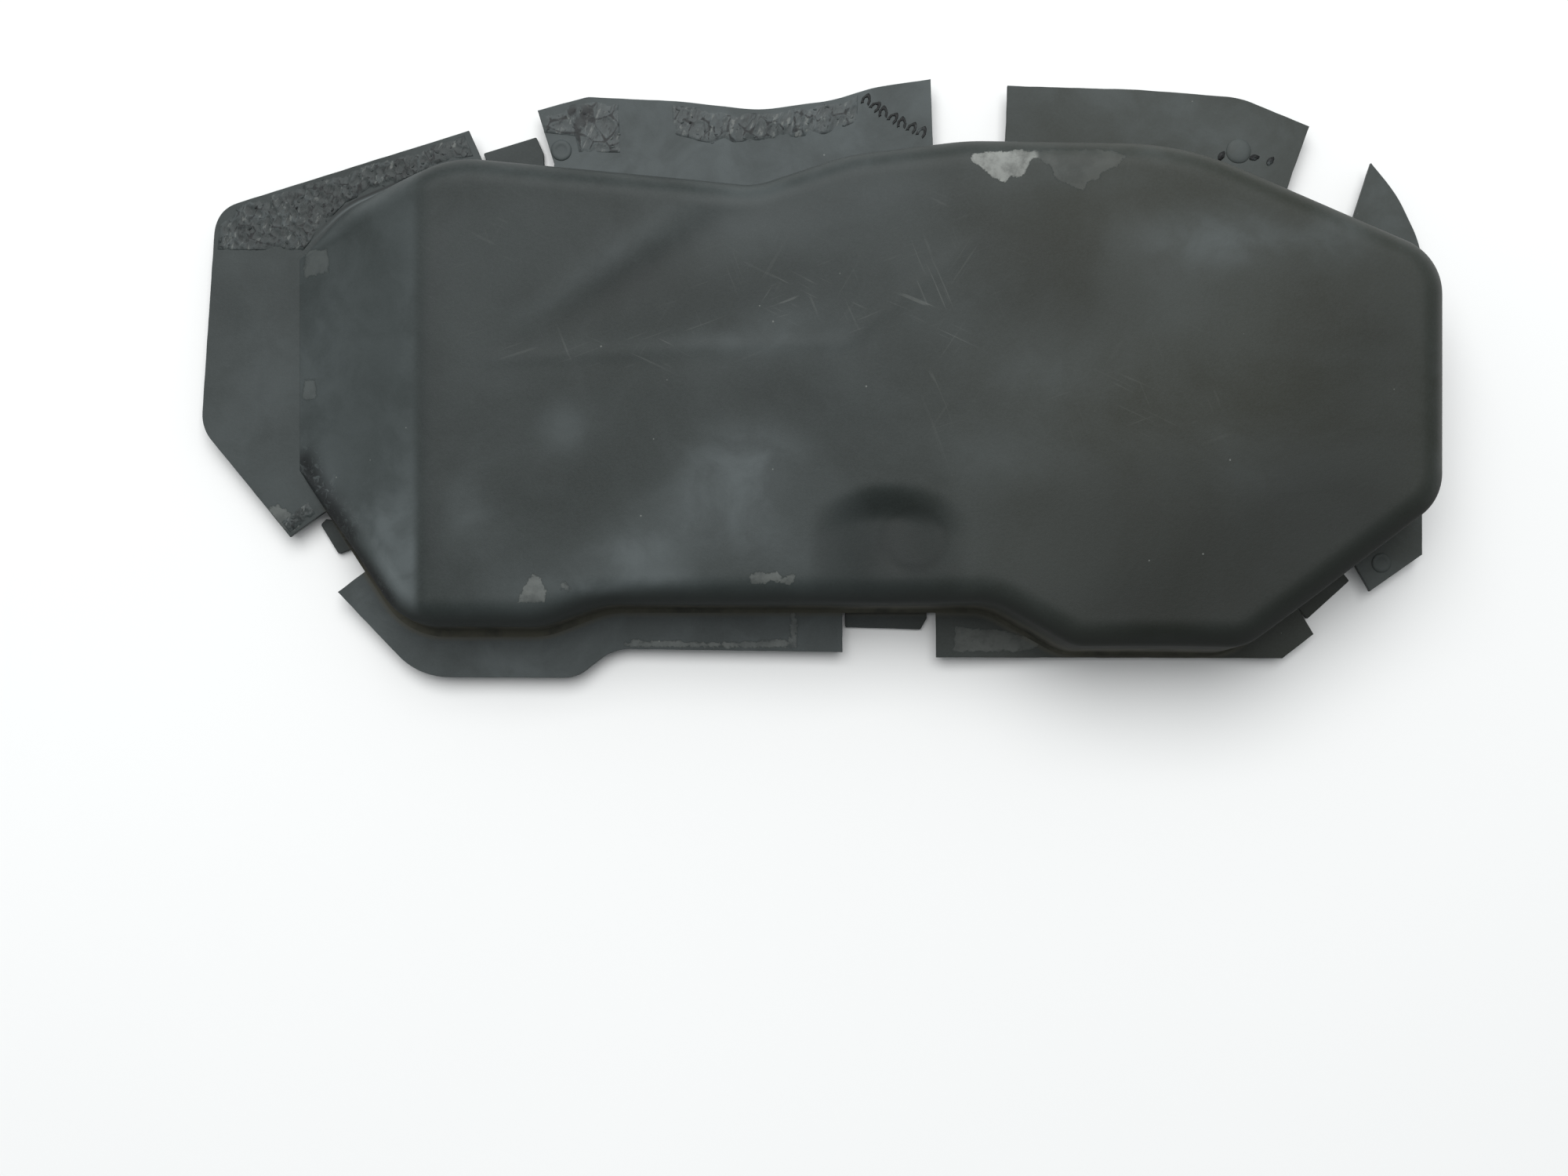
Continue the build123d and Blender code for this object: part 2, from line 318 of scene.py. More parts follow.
def blobs(x, y, spots):
    """Soft round marks added up, at most one."""
    total = np.zeros_like(x)
    for cx, cy, rx, ry, strength in spots:
        total += strength * np.exp(-(((x - cx) / rx) ** 2 + ((y - cy) / ry) ** 2))
    return np.clip(total, 0, 1)


def uneven(x, y, size, seed=0.0):
    """Slow random unevenness from -1 to 1, with humps about the given size."""
    return np.array([noise.noise(Vector((a / size, b / size, seed))) for a, b in zip(x, y)])


def across(x, y, start, end):
    """Place along a line from 0 to 1, and distance to its left."""
    dx, dy = end[0] - start[0], end[1] - start[1]
    length = (dx * dx + dy * dy) ** 0.5
    along = ((x - start[0]) * dx + (y - start[1]) * dy) / length**2
    return along, (-(x - start[0]) * dy + (y - start[1]) * dx) / length


def lattice(loop, step):
    """Staggered rows of points over the loop's box."""
    low, high = loop.min(0), loop.max(0)
    rows = np.arange(low[1], high[1], step * 0.866)
    points = [
        (x, y)
        for row, y in enumerate(rows)
        for x in np.arange(low[0] + (row % 2) * step / 2, high[0], step)
    ]
    return np.array(points)


def triangulate(loops, keep, step):
    """Triangles over the area that keep() accepts, with the loops as edges.

    Gives the points, the triangles turned anticlockwise, and for each point its place in the loops
    joined end to end, or -1.
    """
    fill = lattice(np.concatenate(loops[:1]), step)
    fill = fill[keep(fill)]
    for loop in loops:
        fill = fill[away(fill, loop) > 0.5 * step]
    edges, count = [], 0
    for loop in loops:
        edges += [(count + k, count + (k + 1) % len(loop)) for k in range(len(loop))]
        count += len(loop)
    given = np.concatenate([*loops, fill])
    verts, _, faces, sources, _, _ = delaunay_2d_cdt([Vector(p) for p in given], edges, [], 0, 1e-4)
    points = np.array([(v.x, v.y) for v in verts])
    faces = np.array(faces)
    a, b, c = (points[faces[:, k]] for k in range(3))
    area = (b[:, 0] - a[:, 0]) * (c[:, 1] - a[:, 1]) - (b[:, 1] - a[:, 1]) * (c[:, 0] - a[:, 0])
    faces = np.where(area[:, None] < 0, faces[:, ::-1], faces)
    faces = faces[keep((a + b + c) / 3) & (np.abs(area) > 1e-7)]
    place = np.array([s[0] if len(s) and s[0] < count else -1 for s in sources])
    used = np.unique(faces)
    renumber = np.full(len(points), -1)
    renumber[used] = np.arange(len(used))
    return points[used], renumber[faces], place[used]


# ---- meshes -----------------------------------------------------------------------------------
WELD = 0.004  # points closer than this, in millimetres, become one


def add_object(name, data, place=(0, 0, 0)):
    """A new object in the scene."""
    made = bpy.data.objects.new(name, data)
    made.location = place
    bpy.context.scene.collection.objects.link(made)
    return made


def new_piece(name, points, faces, material, fields=None, crease=38):
    """A mesh object from points in millimetres, with its fields stored on the points."""
    mesh = bpy.data.meshes.new(name)
    mesh.from_pydata((np.asarray(points) * MM).tolist(), [], [list(map(int, f)) for f in faces])
    for field, values in (fields or {}).items():
        stored = mesh.attributes.new(field, "FLOAT", "POINT")
        stored.data.foreach_set("value", np.asarray(values, np.float32))
    joined = bmesh.new()
    joined.from_mesh(mesh)
    bmesh.ops.remove_doubles(joined, verts=joined.verts, dist=WELD * MM)
    joined.to_mesh(mesh)
    joined.free()
    mesh.polygons.foreach_set("use_smooth", [True] * len(mesh.polygons))
    mesh.update()
    mesh.validate()
    mesh.set_sharp_from_angle(angle=radians(crease))
    mesh.materials.append(material)
    return add_object(name, mesh)


def finish_piece(piece, body, slot, *nodes):
    """Hangs the piece on its body and lets it stand for its CAD nodes."""
    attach(piece, body)
    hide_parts(*nodes)


def bend_piece(piece, body, slot, before, after, *nodes):
    """Bakes the piece's place into its mesh and hides its CAD nodes; body, before and after are not
    used.
    """
    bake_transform(piece)
    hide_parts(*nodes)


def normals_of(points, faces):
    """Point normals weighted by area; points in one place share theirs."""
    _, same = np.unique(np.round(points, 3), axis=0, return_inverse=True)
    same = same.ravel()
    total = np.zeros((same.max() + 1, 3))
    for face in faces:
        if not len(face):
            continue
        for k in range(1, face.shape[1] - 1):
            p, q, r = points[face[:, 0]], points[face[:, k]], points[face[:, k + 1]]
            normal = np.cross(q - p, r - p)
            for corner in range(face.shape[1]):
                np.add.at(total, same[face[:, corner]], normal)
    total /= np.maximum(np.linalg.norm(total, axis=1), 1e-9)[:, None]
    return total[same]


def rim_loops(faces):
    """The open edges of a set of triangles, as rows of start and end."""
    edges = np.concatenate([faces[:, [0, 1]], faces[:, [1, 2]], faces[:, [2, 0]]])
    there = {tuple(e) for e in edges.tolist()}
    return np.array([e for e in edges.tolist() if (e[1], e[0]) not in there])


def slab(points, faces, low, high, round_over=0.15):
    """A closed plate over plan triangles, between two heights, its edges slightly rounded.

    Gives points, faces, and which plan point each came from.
    """
    count = len(points)
    low, high = np.broadcast_to(low, count), np.broadcast_to(high, count)
    edges = rim_loops(faces)
    run = points[edges[:, 1]] - points[edges[:, 0]]
    outward = np.stack([run[:, 1], -run[:, 0]], 1) / np.maximum(np.hypot(*run.T), 1e-9)[:, None]
    push = np.zeros((count, 2))
    np.add.at(push, edges[:, 0], outward)
    np.add.at(push, edges[:, 1], outward)
    rim = np.unique(edges)
    push[rim] /= np.maximum(np.hypot(*push[rim].T), 1e-9)[:, None]
    soft = np.minimum(np.broadcast_to(round_over, count)[rim], (high - low)[rim] * 0.35)
    inner = points.copy()
    inner[rim] -= push[rim] * soft[:, None]
    slot = np.full(count, -1)
    slot[rim] = np.arange(len(rim))
    made = np.concatenate([
        np.column_stack([inner, high]),
        np.column_stack([points[rim], high[rim] - soft]),
        np.column_stack([points[rim], low[rim] + soft]),
        np.column_stack([inner, low]),
    ])
    shoulder, sill, floor = count, count + len(rim), count + 2 * len(rim)
    a, b = edges[:, 0], edges[:, 1]
    sides = [
        np.column_stack([b, a, shoulder + slot[a], shoulder + slot[b]]),
        np.column_stack([shoulder + slot[b], shoulder + slot[a], sill + slot[a], sill + slot[b]]),
        np.column_stack([sill + slot[b], sill + slot[a], floor + a, floor + b]),
    ]
    all_faces = [*faces.tolist(), *(faces[:, ::-1] + floor).tolist()]
    for side in sides:
        all_faces += side.tolist()
    return made, all_faces, np.concatenate([np.arange(count), rim, rim, np.arange(count)])


# ---- how the pan and its flanges are shaped ---------------------------------------------------
PAN_LOOP = rounded(PAN, 1.4)  # the pan's foot as points that the flanges and marks measure from


def in_hollow(x, y, head_run, side_run):
    """How far into the arched hollow a point is, from 0 outside to 1 on its floor."""
    middle = (HOLLOW_LEFT + HOLLOW_RIGHT) / 2
    arch = HOLLOW_HEAD - 6 * ((x - middle) / (HOLLOW_RIGHT - middle)) ** 2
    left = smooth((x - HOLLOW_LEFT + 3) / side_run)
    right = smooth((HOLLOW_RIGHT + 4 - x) / (1.2 * side_run))
    return smooth((arch - y) / head_run) * left * right


def pan_top(x, y, sizes):
    """Height of the top of the pan, before its rim is rounded over."""
    top = RIDGE_Z + (x - RIDGE_X) * TOP_SLOPE
    ramp = FLANGE_TOP + (x - LEFT_X) * RAMP_SLOPE
    eased = np.maximum(RIDGE_EASE - np.abs(top - ramp), 0) ** 2 / RIDGE_EASE / 4
    z = np.minimum(top, ramp) - eased
    lift = smooth((x - LEFT_X) / 40)
    # the moulded fold that fans out from the middle left to the dip in the upper edge
    along, left = across(x, y, *FOLD)
    width = 3 + 5 * np.clip(along, 0, 1.3)
    wave = hump(left - 5.0, width) - hump(left + 3.5, width * 1.1)
    z += sizes.fold_height / MM * lift * smooth(along * 1.25) * wave
    # the long shallow crease from the same point towards the upper right
    for start, end, height in CREASE:
        along, left = across(x, y, start, end)
        z += height * hump(left, 2.2) * smooth(along * 4 + 0.6) * smooth((1 - along) * 4 + 0.6)
    # the arched hollow, steep at its head and left, running out softly to the right
    brink = RIDGE_Z + ((HOLLOW_LEFT + HOLLOW_RIGHT) / 2 - RIDGE_X) * TOP_SLOPE
    floor = brink - sizes.recess_depth / MM
    z += (floor - z) * in_hollow(x, y, HOLLOW_HEAD_RUN, HOLLOW_SIDE_RUN)
    ring = np.hypot(x - ROUND_RING_MIDDLE[0], y - ROUND_RING_MIDDLE[1])
    z -= 0.12 * hump(ring - 8.8, 0.9) + 0.08 * hump(ring, 6)
    z += lift * (0.34 * uneven(x, y, 46, 3.1) + 0.12 * uneven(x, y, 19, 7.7) - 0.3)
    return z


def sway(x, y):
    """How far the flanges wander up and down, nothing at the wall."""
    plan = np.column_stack([x, y])
    free = smooth((-depth_in(plan, PAN_LOOP) - 2) / 16)
    return free * (0.34 * uneven(x, y, 34, 11.3) + 0.12 * uneven(x, y, 13, 5.9))


def peel_fields(plan, patches):
    """Millimetres inside the nearest lifted patch, and how pale that patch is."""
    depths = np.array([depth_in(plan, np.array(outline, float)) for _, outline in patches])
    tones = np.array([tone for tone, _ in patches])
    return {"peel": np.clip(depths.max(0), -6, 6), "bare": tones[depths.argmax(0)]}


def pan_fields(x, y):
    """The marks on the pan, as fields for its material."""
    plan = np.column_stack([x, y])
    tar = np.zeros_like(x)
    for start, end, width in TARRED:
        along, left = across(x, y, start, end)
        tar = np.maximum(tar, hump(left, width) * smooth(along * 5 + 1) * smooth((1 - along) * 5))
    ring = np.hypot(x - ROUND_RING_MIDDLE[0], y - ROUND_RING_MIDDLE[1])
    # ramp: the whole ramp gets 0.3 more bloom below, painted light because the ramp faces the light
    ramp = smooth((RIDGE_X + 1.8 - x) / 3.2)
    along, left = across(x, y, *FOLD)
    width = 3 + 4 * np.clip(along, 0, 1.2)
    reach = smooth(along * 2.5) * smooth((1.1 - along) * 2)
    # streak is a painted highlight on the fold's raised side, furrow painted shade in its valley
    streak, furrow = hump(left - 5, width) * reach, hump(left + 4.5, width) * reach
    bloom = blobs(x, y, BLOOM) + ramp * (0.3 + blobs(x, y, RAMP_BLOOM)) + 0.3 * streak
    dark_ring = 0.3 * hump(ring - 8.6, 1.5) + 0.15 * smooth((9 - ring) / 2)
    # shade: the darker stretches, painted shade over the hollow and in the fold's furrow, and the
    # dark ring
    shade = blobs(x, y, SHADE) + 0.22 * in_hollow(x, y, 5.0, 6.0) + dark_ring + 0.3 * furrow
    return {
        "bloom": np.clip(bloom, 0, 1) * (1 - 0.85 * in_hollow(x, y, 4.0, 4.0)),
        "shade": np.clip(shade, 0, 1),
        "scuff": blobs(x, y, SCUFFED),
        "tar": tar,
        **peel_fields(plan, PEELED),
    }


def flange_fields(x, y, bloom):
    """The marks on a flange: bloom, lifted skin, and millimetres out from the pan's wall."""
    plan = np.column_stack([x, y])
    return {
        "bloom": np.clip(bloom + 0.25 * uneven(x, y, 22, 4.4), 0, 1),
        "root": np.clip(-depth_in(plan, PAN_LOOP), -3, 14),
        "seam": smooth((x - LEFT_X - 4) / 9) * smooth((-y - 25) / 25),
        "groove": blobs(x, y, [(-133, 56, 20, 12, 1.0)]),
        **peel_fields(plan, PEELED_FLANGES),
    }


def build_pan(sizes, material):
    """The hollow pan: neck, flared root, drafted wall, rounded rim and shaped top."""
    step, draft = sizes.mesh_step / MM, sizes.draft
    loop = rounded(PAN, step)
    count = len(loop)
    inward = inward_of(loop)

    reach, flare = np.zeros(count), np.zeros(count)
    lower = smooth((-loop[:, 1] - 30) / 30) * smooth((150 - loop[:, 0]) / 50)
    corner = blobs(loop[:, 0], loop[:, 1], [(-104, -80, 44, 24, 1.0)])
    wide_root = 0.15 + 0.75 * lower + 0.75 * corner
    for _ in range(6):  # the reach and the height it ends at settle together
        shoulder = loop + inward * reach[:, None]
        height = np.maximum(pan_top(shoulder[:, 0], shoulder[:, 1], sizes) - FLANGE_TOP, 0)
        radius = np.minimum(sizes.rim_radius / MM, 0.8 * height)
        flare = np.minimum(sizes.root_radius / MM * wide_root, 0.3 * height)
        reach = flare + (height - radius) * tan(draft) + radius / cos(draft)

    rings = []

    def ring(distance, z):
        plan = loop + inward * np.broadcast_to(distance, count)[:, None]
        rings.append(np.column_stack([plan, np.broadcast_to(z, count)]))

    for z in (0.0, 0.25, FLANGE_TOP / 2, FLANGE_TOP - 0.1):
        ring(0.0 if z else 0.18, z)
    for angle in np.radians((0, 18, 36, 54, 72, 90)):
        ring(flare * sin(angle), FLANGE_TOP + 0.03 + flare * (1 - cos(angle)))
    foot = height - radius * (1 - sin(draft))
    for share in (0.3, 0.6):
        z = flare + (foot - flare) * share
        ring(flare + z * tan(draft), FLANGE_TOP + z)
    first_of_arc = len(rings)
    for angle in np.linspace(draft, pi / 2, 11):
        ring(reach - radius * cos(angle), FLANGE_TOP + height - radius * (1 - sin(angle)))

    last = rings[-1][:, :2]
    points, faces, place = triangulate([last], lambda p: inside(p, last), step)
    if (place >= 0).sum() != count:
        raise ValueError("the pan's shoulder line crosses itself")
    fresh = place < 0
    crown = np.column_stack([points[fresh], pan_top(points[fresh, 0], points[fresh, 1], sizes)])
    crown_start, last_ring = len(rings) * count, (len(rings) - 1) * count
    number = np.where(fresh, crown_start + np.cumsum(fresh) - 1, last_ring + place)
    outer = np.concatenate([*rings, crown])
    k = np.arange(count)
    after = (k + 1) % count
    walls = np.concatenate([
        np.column_stack([row + k, row + after, row + count + after, row + count + k])
        for row in range(0, last_ring, count)
    ])
    top = number[faces]
    inner = outer - normals_of(outer, [walls, top]) * sizes.wall / MM
    inner[:count, 2] = 0
    shift = len(outer)
    lip = np.column_stack([after, k, shift + k, shift + after])
    all_faces = [*walls.tolist(), *top.tolist(), *(walls[:, ::-1] + shift).tolist(),
                 *(top[:, ::-1] + shift).tolist(), *lip.tolist()]

    x, y = outer[:, 0], outer[:, 1]
    fields = pan_fields(x, y)
    tall = smooth(height / 14)
    below = smooth((-loop[:, 1] - 25) / 25) * tall
    root_reach = smooth(height / 7) * (0.2 * tall + 0.8 * below)

    def on_rings(strength):
        """A field given ring by ring, nothing on the crown."""
        return np.concatenate([*(strength(r) for r in range(len(rings))), np.zeros(len(crown))])

    # rim: a band high on the rounded rim, away from the lower side, painted as a highlight in the
    # material
    fields["rim"] = on_rings(lambda r: hump(r - first_of_arc - 6.0, 2.4) * (tall - 0.8 * below))
    # wall: the lower walls, free of bloom, rougher, and darkened with painted shade in the material
    fields["wall"] = on_rings(lambda r: smooth((first_of_arc + 8.5 - r) / 6) * below)
    # a paler olive band over the flare and low on the wall, mostly on the lower side
    fields["grime"] = on_rings(lambda r: smooth((11.5 - r) / 2) * root_reach * (r > 3))
    inside_fields = {name: np.full(shift, -6.0 if name == "peel" else 0.0) for name in fields}
    fields = {name: np.concatenate([v, inside_fields[name]]) for name, v in fields.items()}
    return new_piece("pan", np.concatenate([outer, inner]), all_faces, material, fields, crease=50)


def build_plate(name, corners, material, step, low, bloom, fray=0.18, swaying=True):
    """A flange, flap or tab: its outline less the pan, slightly wavy, with a hand-cut edge."""
    outline = rounded(corners, step)
    rough = 0.5 + 0.5 * uneven(outline[:, 0], outline[:, 1], 4.5, 2.2)
    saw = hump(away(outline, np.array([(-182, -18.6), (-158, -48.1)])), 1.2)
    teeth = 0.5 + 0.5 * np.sin(outline[:, 1] * 3.3 + 2 * rough)
    nibble = fray * rough + 0.55 * saw * teeth * (name == "left_flange")
    outline = outline + inward_of(outline) * nibble[:, None]

    def keep(points):
        return inside(points, outline) & ~inside(points, PAN_LOOP)

    points, faces, _ = triangulate([outline, PAN_LOOP], keep, step)
    wave = sway(points[:, 0], points[:, 1]) if swaying else 0.0
    if name == "left_flange":
        out = -depth_in(points, PAN_LOOP)
        along, _ = across(points[:, 0], points[:, 1], (-154, 37), (-112, 66))
        there = smooth(along * 6) * smooth((1 - along) * 6)
        wave = wave + there * (0.5 * hump(out - 2.4, 0.9) - 0.3 * hump(out - 4.6, 1.0))
    against = away(points, PAN_LOOP) < 0.05
    bottom = low + wave
    made, all_faces, _ = slab(points, faces, bottom, low + THICKNESS + wave,
                              np.where(against, 0.02, 0.15))
    fields = flange_fields(made[:, 0], made[:, 1], bloom)
    return new_piece(name, made, all_faces, material, fields)


def cells(x, y, length, width, turn, seed):
    """Distance to the border between irregular cells."""
    angle = radians(turn)
    wobble = 0.35 * length
    x = x + wobble * uneven(x, y, length * 1.3, seed)
    y = y + wobble * uneven(x, y, length * 1.3, seed + 9.5)
    u = (x * cos(angle) + y * sin(angle)) / length
    v = (-x * sin(angle) + y * cos(angle)) / width
    first, second = np.full(len(x), 9.0), np.full(len(x), 9.0)
    base_u, base_v = np.floor(u), np.floor(v)
    for i in (-1, 0, 1):
        for j in (-1, 0, 1):
            cu, cv = base_u + i, base_v + j
            mix = np.sin(cu * 127.1 + cv * 311.7 + seed * 74.7) * 43758.5453
            other = np.sin(cu * 269.5 + cv * 183.3 + seed * 41.9) * 28001.8384
            gap = np.hypot(cu + mix - np.floor(mix) - u, cv + other - np.floor(other) - v)
            second = np.minimum(np.maximum(gap, first), second)
            first = np.minimum(first, gap)
    return second - first


def build_patch(name, outline, length, width, turn, seed, bloom, material, sizes):
    """A skin of crazed compound lying on a flange, thin at its ragged border."""
    ragged = 3.4  # width of the torn border
    loop = rounded([(x, y, 0) for x, y in outline], 0.8)
    points, faces, _ = triangulate([loop], lambda p: inside(p, loop), 0.62)
    x, y = points[:, 0], points[:, 1]
    border = cells(x, y, length, width, turn, seed)
    fade = smooth((depth_in(points, loop) + 1.3 + ragged * uneven(x, y, 6.0, seed)) / ragged)
    patchy = smooth(0.62 + 0.9 * uneven(x, y, 9.0, seed + 3))
    crest = hump(border, 0.24) * (0.35 + 0.65 * patchy)
    crack = hump(border, 0.07)
    tall = np.maximum(0.12 + 0.4 * crest - 0.2 * crack + 0.10 * uneven(x, y, 1.1, seed + 1), 0.05)
    base = FLANGE_TOP + sway(x, y)
    rise = np.clip(fade * tall - 0.14 * (1 - fade), -0.2, sizes.compound_height / MM)
    made, all_faces, source = slab(points, faces, base - 0.3, base + rise, round_over=0.05)
    fields = {
        "border": border[source],
        "crest": (crest * fade)[source],
        "show": fade[source],
        "bloom": np.full(len(made), bloom),
    }
    return new_piece(name, made, all_faces, material, fields, crease=70)


def build_round_mark(name, centre, radius, height, dished, material):
    """A low round boss, with a dished middle or a plain dome, set just into the flange."""
    cx, cy = centre
    base = FLANGE_TOP + float(sway(np.array([cx]), np.array([cy]))[0])
    if dished:
        profile = [(0, 0.62), (0.3, 0.62), (0.46, 0.72), (0.56, 0.95), (0.66, 1.0), (0.78, 0.97),
                   (0.88, 0.82), (0.95, 0.5), (1.0, 0.0), (1.0, -0.4)]
    else:
        profile = [(0, 1.0), (0.2, 0.985), (0.4, 0.93), (0.58, 0.83), (0.73, 0.68), (0.85, 0.48),
                   (0.93, 0.26), (1.0, 0.0), (1.0, -0.2)]
    spokes = 56  # points round the mark
    points = [(cx, cy, base + height * profile[0][1])]
    for share, level in profile[1:]:
        for k in range(spokes):
            angle = 2 * pi * k / spokes
            wobble = 1 + 0.025 * noise.noise(Vector((cos(angle) * 2, sin(angle) * 2, cx)))
            r = min(radius, radius * share * wobble)
            points.append((cx + r * cos(angle), cy + r * sin(angle), base + height * level))
    points.append((cx, cy, base + height * profile[-1][1]))
    faces = [(0, 1 + k, 1 + (k + 1) % spokes) for k in range(spokes)]
    for r in range(len(profile) - 2):
        first, second = 1 + r * spokes, 1 + (r + 1) * spokes
        faces += [(first + k, second + k, second + (k + 1) % spokes, first + (k + 1) % spokes)
                  for k in range(spokes)]
    bottom, last = len(points) - 1, 1 + (len(profile) - 2) * spokes
    faces += [(bottom, last + (k + 1) % spokes, last + k) for k in range(spokes)]
    fields = {key: np.full(len(points), value)
              for key, value in (("bloom", 0.6), ("peel", -6.0), ("root", 9.0))}
    return new_piece(name, points, faces, material, fields, crease=60)


# ---- node trees -------------------------------------------------------------------------------
class Wiring:
    """Adds nodes to a tree and joins them."""

    def __init__(self, tree):
        self.tree = tree

    def node(self, kind, inputs=None, **settings):
        made = self.tree.nodes.new(kind)
        made.location = (180 * (len(self.tree.nodes) % 12), -220 * (len(self.tree.nodes) // 12))
        for name, value in settings.items():
            setattr(made, name, value)
        for key, value in (inputs or {}).items():
            if isinstance(value, bpy.types.NodeSocket):
                self.tree.links.new(value, made.inputs[key])
            else:
                made.inputs[key].default_value = value
        return made

    def math(self, operation, a, b=0.0, clamp=False):
        made = self.node("ShaderNodeMath", {0: a, 1: b}, operation=operation, use_clamp=clamp)
        return made.outputs[0]

    def times(self, a, b, clamp=False):
        return self.math("MULTIPLY", a, b, clamp)

    def vector(self, operation, a, b):
        """Vector arithmetic; for SCALE, b is one number."""
        inputs = {0: a, "Scale" if operation == "SCALE" else 1: b}
        return self.node("ShaderNodeVectorMath", inputs, operation=operation).outputs[0]

    def turned(self, vector, angle):
        inputs = {"Vector": vector, "Angle": angle}
        return self.node("ShaderNodeVectorRotate", inputs, rotation_type="Z_AXIS").outputs[0]

    def between(self, value, low, high, to_low=0.0, to_high=1.0):
        """Smooth step of a value between two limits."""
        inputs = {"Value": value, "From Min": low, "From Max": high,
                  "To Min": to_low, "To Max": to_high}
        return self.node("ShaderNodeMapRange", inputs, interpolation_type="SMOOTHSTEP").outputs[0]

    def mix(self, share, under, over):
        inputs = {0: share, 6: under, 7: over}
        return self.node("ShaderNodeMix", inputs, data_type="RGBA").outputs[2]

    def mix_value(self, share, under, over):
        return self.node("ShaderNodeMix", {0: share, 2: under, 3: over}).outputs[0]

    def noise(self, place, scale, detail=3.0, roughness=0.5, distortion=0.0):
        inputs = {"Vector": place, "Scale": scale, "Detail": detail,
                  "Roughness": roughness, "Distortion": distortion}
        return self.node("ShaderNodeTexNoise", inputs).outputs[0]

    def field(self, name):
        return self.node("ShaderNodeAttribute", attribute_name=name).outputs["Fac"]

    def group(self, tree, **inputs):
        """The outputs of a node group, its inputs given by their names in small letters."""
        made = self.node("ShaderNodeGroup", node_tree=tree)
        for name, value in inputs.items():
            socket = made.inputs[name.replace("_", " ").title()]
            if isinstance(value, bpy.types.NodeSocket):
                self.tree.links.new(value, socket)
            else:
                socket.default_value = value
        return made.outputs


def shader_group(name, inputs, outputs, build):
    """A shader node group, made once. build(wiring, inputs) gives the sockets for its outputs."""
    if name in bpy.data.node_groups:
        return bpy.data.node_groups[name]
    tree = bpy.data.node_groups.new(name, "ShaderNodeTree")
    for label, kind, default in inputs:
        socket = tree.interface.new_socket(label, in_out="INPUT", socket_type=kind)
        if default is not None:
            socket.default_value = default
    for label in outputs:
        tree.interface.new_socket(label, in_out="OUTPUT", socket_type="NodeSocketFloat")
    wiring = Wiring(tree)
    entry, leave = wiring.node("NodeGroupInput"), wiring.node("NodeGroupOutput")
    for socket, value in zip(leave.inputs, build(wiring, entry.outputs)):
        tree.links.new(value, socket)
    return tree


PLACE = ("Place", "NodeSocketVector", None)  # the input that every group of marks starts with
BLACK = (0.005, 0.0055, 0.006, 1.0)  # cracks, tar and fresh compound


def grain_group():
    """Fine moulded grain, and slow mottling of the colour."""
    def build(w, given):
        coarse = w.noise(given["Place"], given["Scale"], 2.0, 0.6)
        fine = w.noise(given["Place"], w.times(given["Scale"], 3.3), 2.0, 0.6)
        mottle = w.noise(given["Place"], w.times(given["Scale"], 0.045), 5.0, 0.62, 0.3)
        return w.mix_value(0.4, coarse, fine), mottle
    return shader_group("Moulded Grain", [PLACE, ("Scale", "NodeSocketFloat", 900.0)],
                        ["Height", "Mottle"], build)


def bloom_group():
    """Pale bloom that gathers in cloudy patches."""
    def build(w, given):
        cloud = w.between(w.noise(given["Place"], given["Scale"], 6.0, 0.6, 0.4), 0.34, 0.66)
        kept = w.mix_value(given["Cloudy"], 1.0, cloud)
        return (w.times(given["Amount"], kept, clamp=True),)
    return shader_group("Rubber Bloom", [PLACE, ("Amount", "NodeSocketFloat", 0.5),
                                         ("Scale", "NodeSocketFloat", 42.0),
                                         ("Cloudy", "NodeSocketFloat", 0.5)], ["Mask"], build)


def hairline_group():
    """Fine scratches running one way, broken up into short lengths."""
    def build(w, given):
        wander = w.node("ShaderNodeTexNoise", {"Vector": given["Place"], "Scale": 15.0}).outputs[1]
        bent = w.vector("ADD", w.turned(given["Place"], given["Angle"]),
                        w.vector("SCALE", wander, 0.004))
        drawn = w.vector("MULTIPLY", bent, (0.02, 1.0, 1.0))
        line = w.between(w.noise(drawn, 1100.0, 1.0, 0.4), 0.64, 0.73)
        stretched = w.vector("MULTIPLY", bent, (0.5, 1.0, 1.0))
        length = w.between(w.noise(stretched, 75.0, 2.0), 0.5, 0.62)
        return (w.times(w.times(line, length), given["Amount"], clamp=True),)
    return shader_group("Hair Scratches", [PLACE, ("Angle", "NodeSocketFloat", 0.6),
                                           ("Amount", "NodeSocketFloat", 0.5)], ["Mask"], build)


def speck_group():
    """Scattered small pale specks."""
    def build(w, given):
        size = given["Size"]
        dots = w.node("ShaderNodeTexVoronoi", {"Vector": given["Place"], "Scale": given["Scale"]})
        small = w.between(dots.outputs["Distance"], size, w.times(size, 0.6))
        pick = w.node("ShaderNodeSeparateColor", {0: dots.outputs["Color"]}).outputs[0]
        few = w.math("LESS_THAN", pick, given["Share"])
        return (w.times(small, few),)
    return shader_group("Pale Specks", [PLACE, ("Scale", "NodeSocketFloat", 160.0),
                                        ("Size", "NodeSocketFloat", 0.09),
                                        ("Share", "NodeSocketFloat", 0.06)], ["Mask"], build)


def ragged_group():
    """Turns millimetres inside an outline into a mask with a torn edge."""
    def build(w, given):
        tear = w.math("SUBTRACT", w.noise(given["Place"], 420.0, 6.0, 0.7, 0.4), 0.5)
        value = w.math("ADD", given["Depth"], w.times(tear, given["Tear"]))
        mask = w.between(value, -0.08, 0.14)
        lip = w.times(w.between(value, -0.45, -0.02), w.between(value, 0.5, 0.05))
        return mask, lip
    return shader_group("Torn Edge", [PLACE, ("Depth", "NodeSocketFloat", 0.0),
                                      ("Tear", "NodeSocketFloat", 3.6)], ["Mask", "Lip"], build)


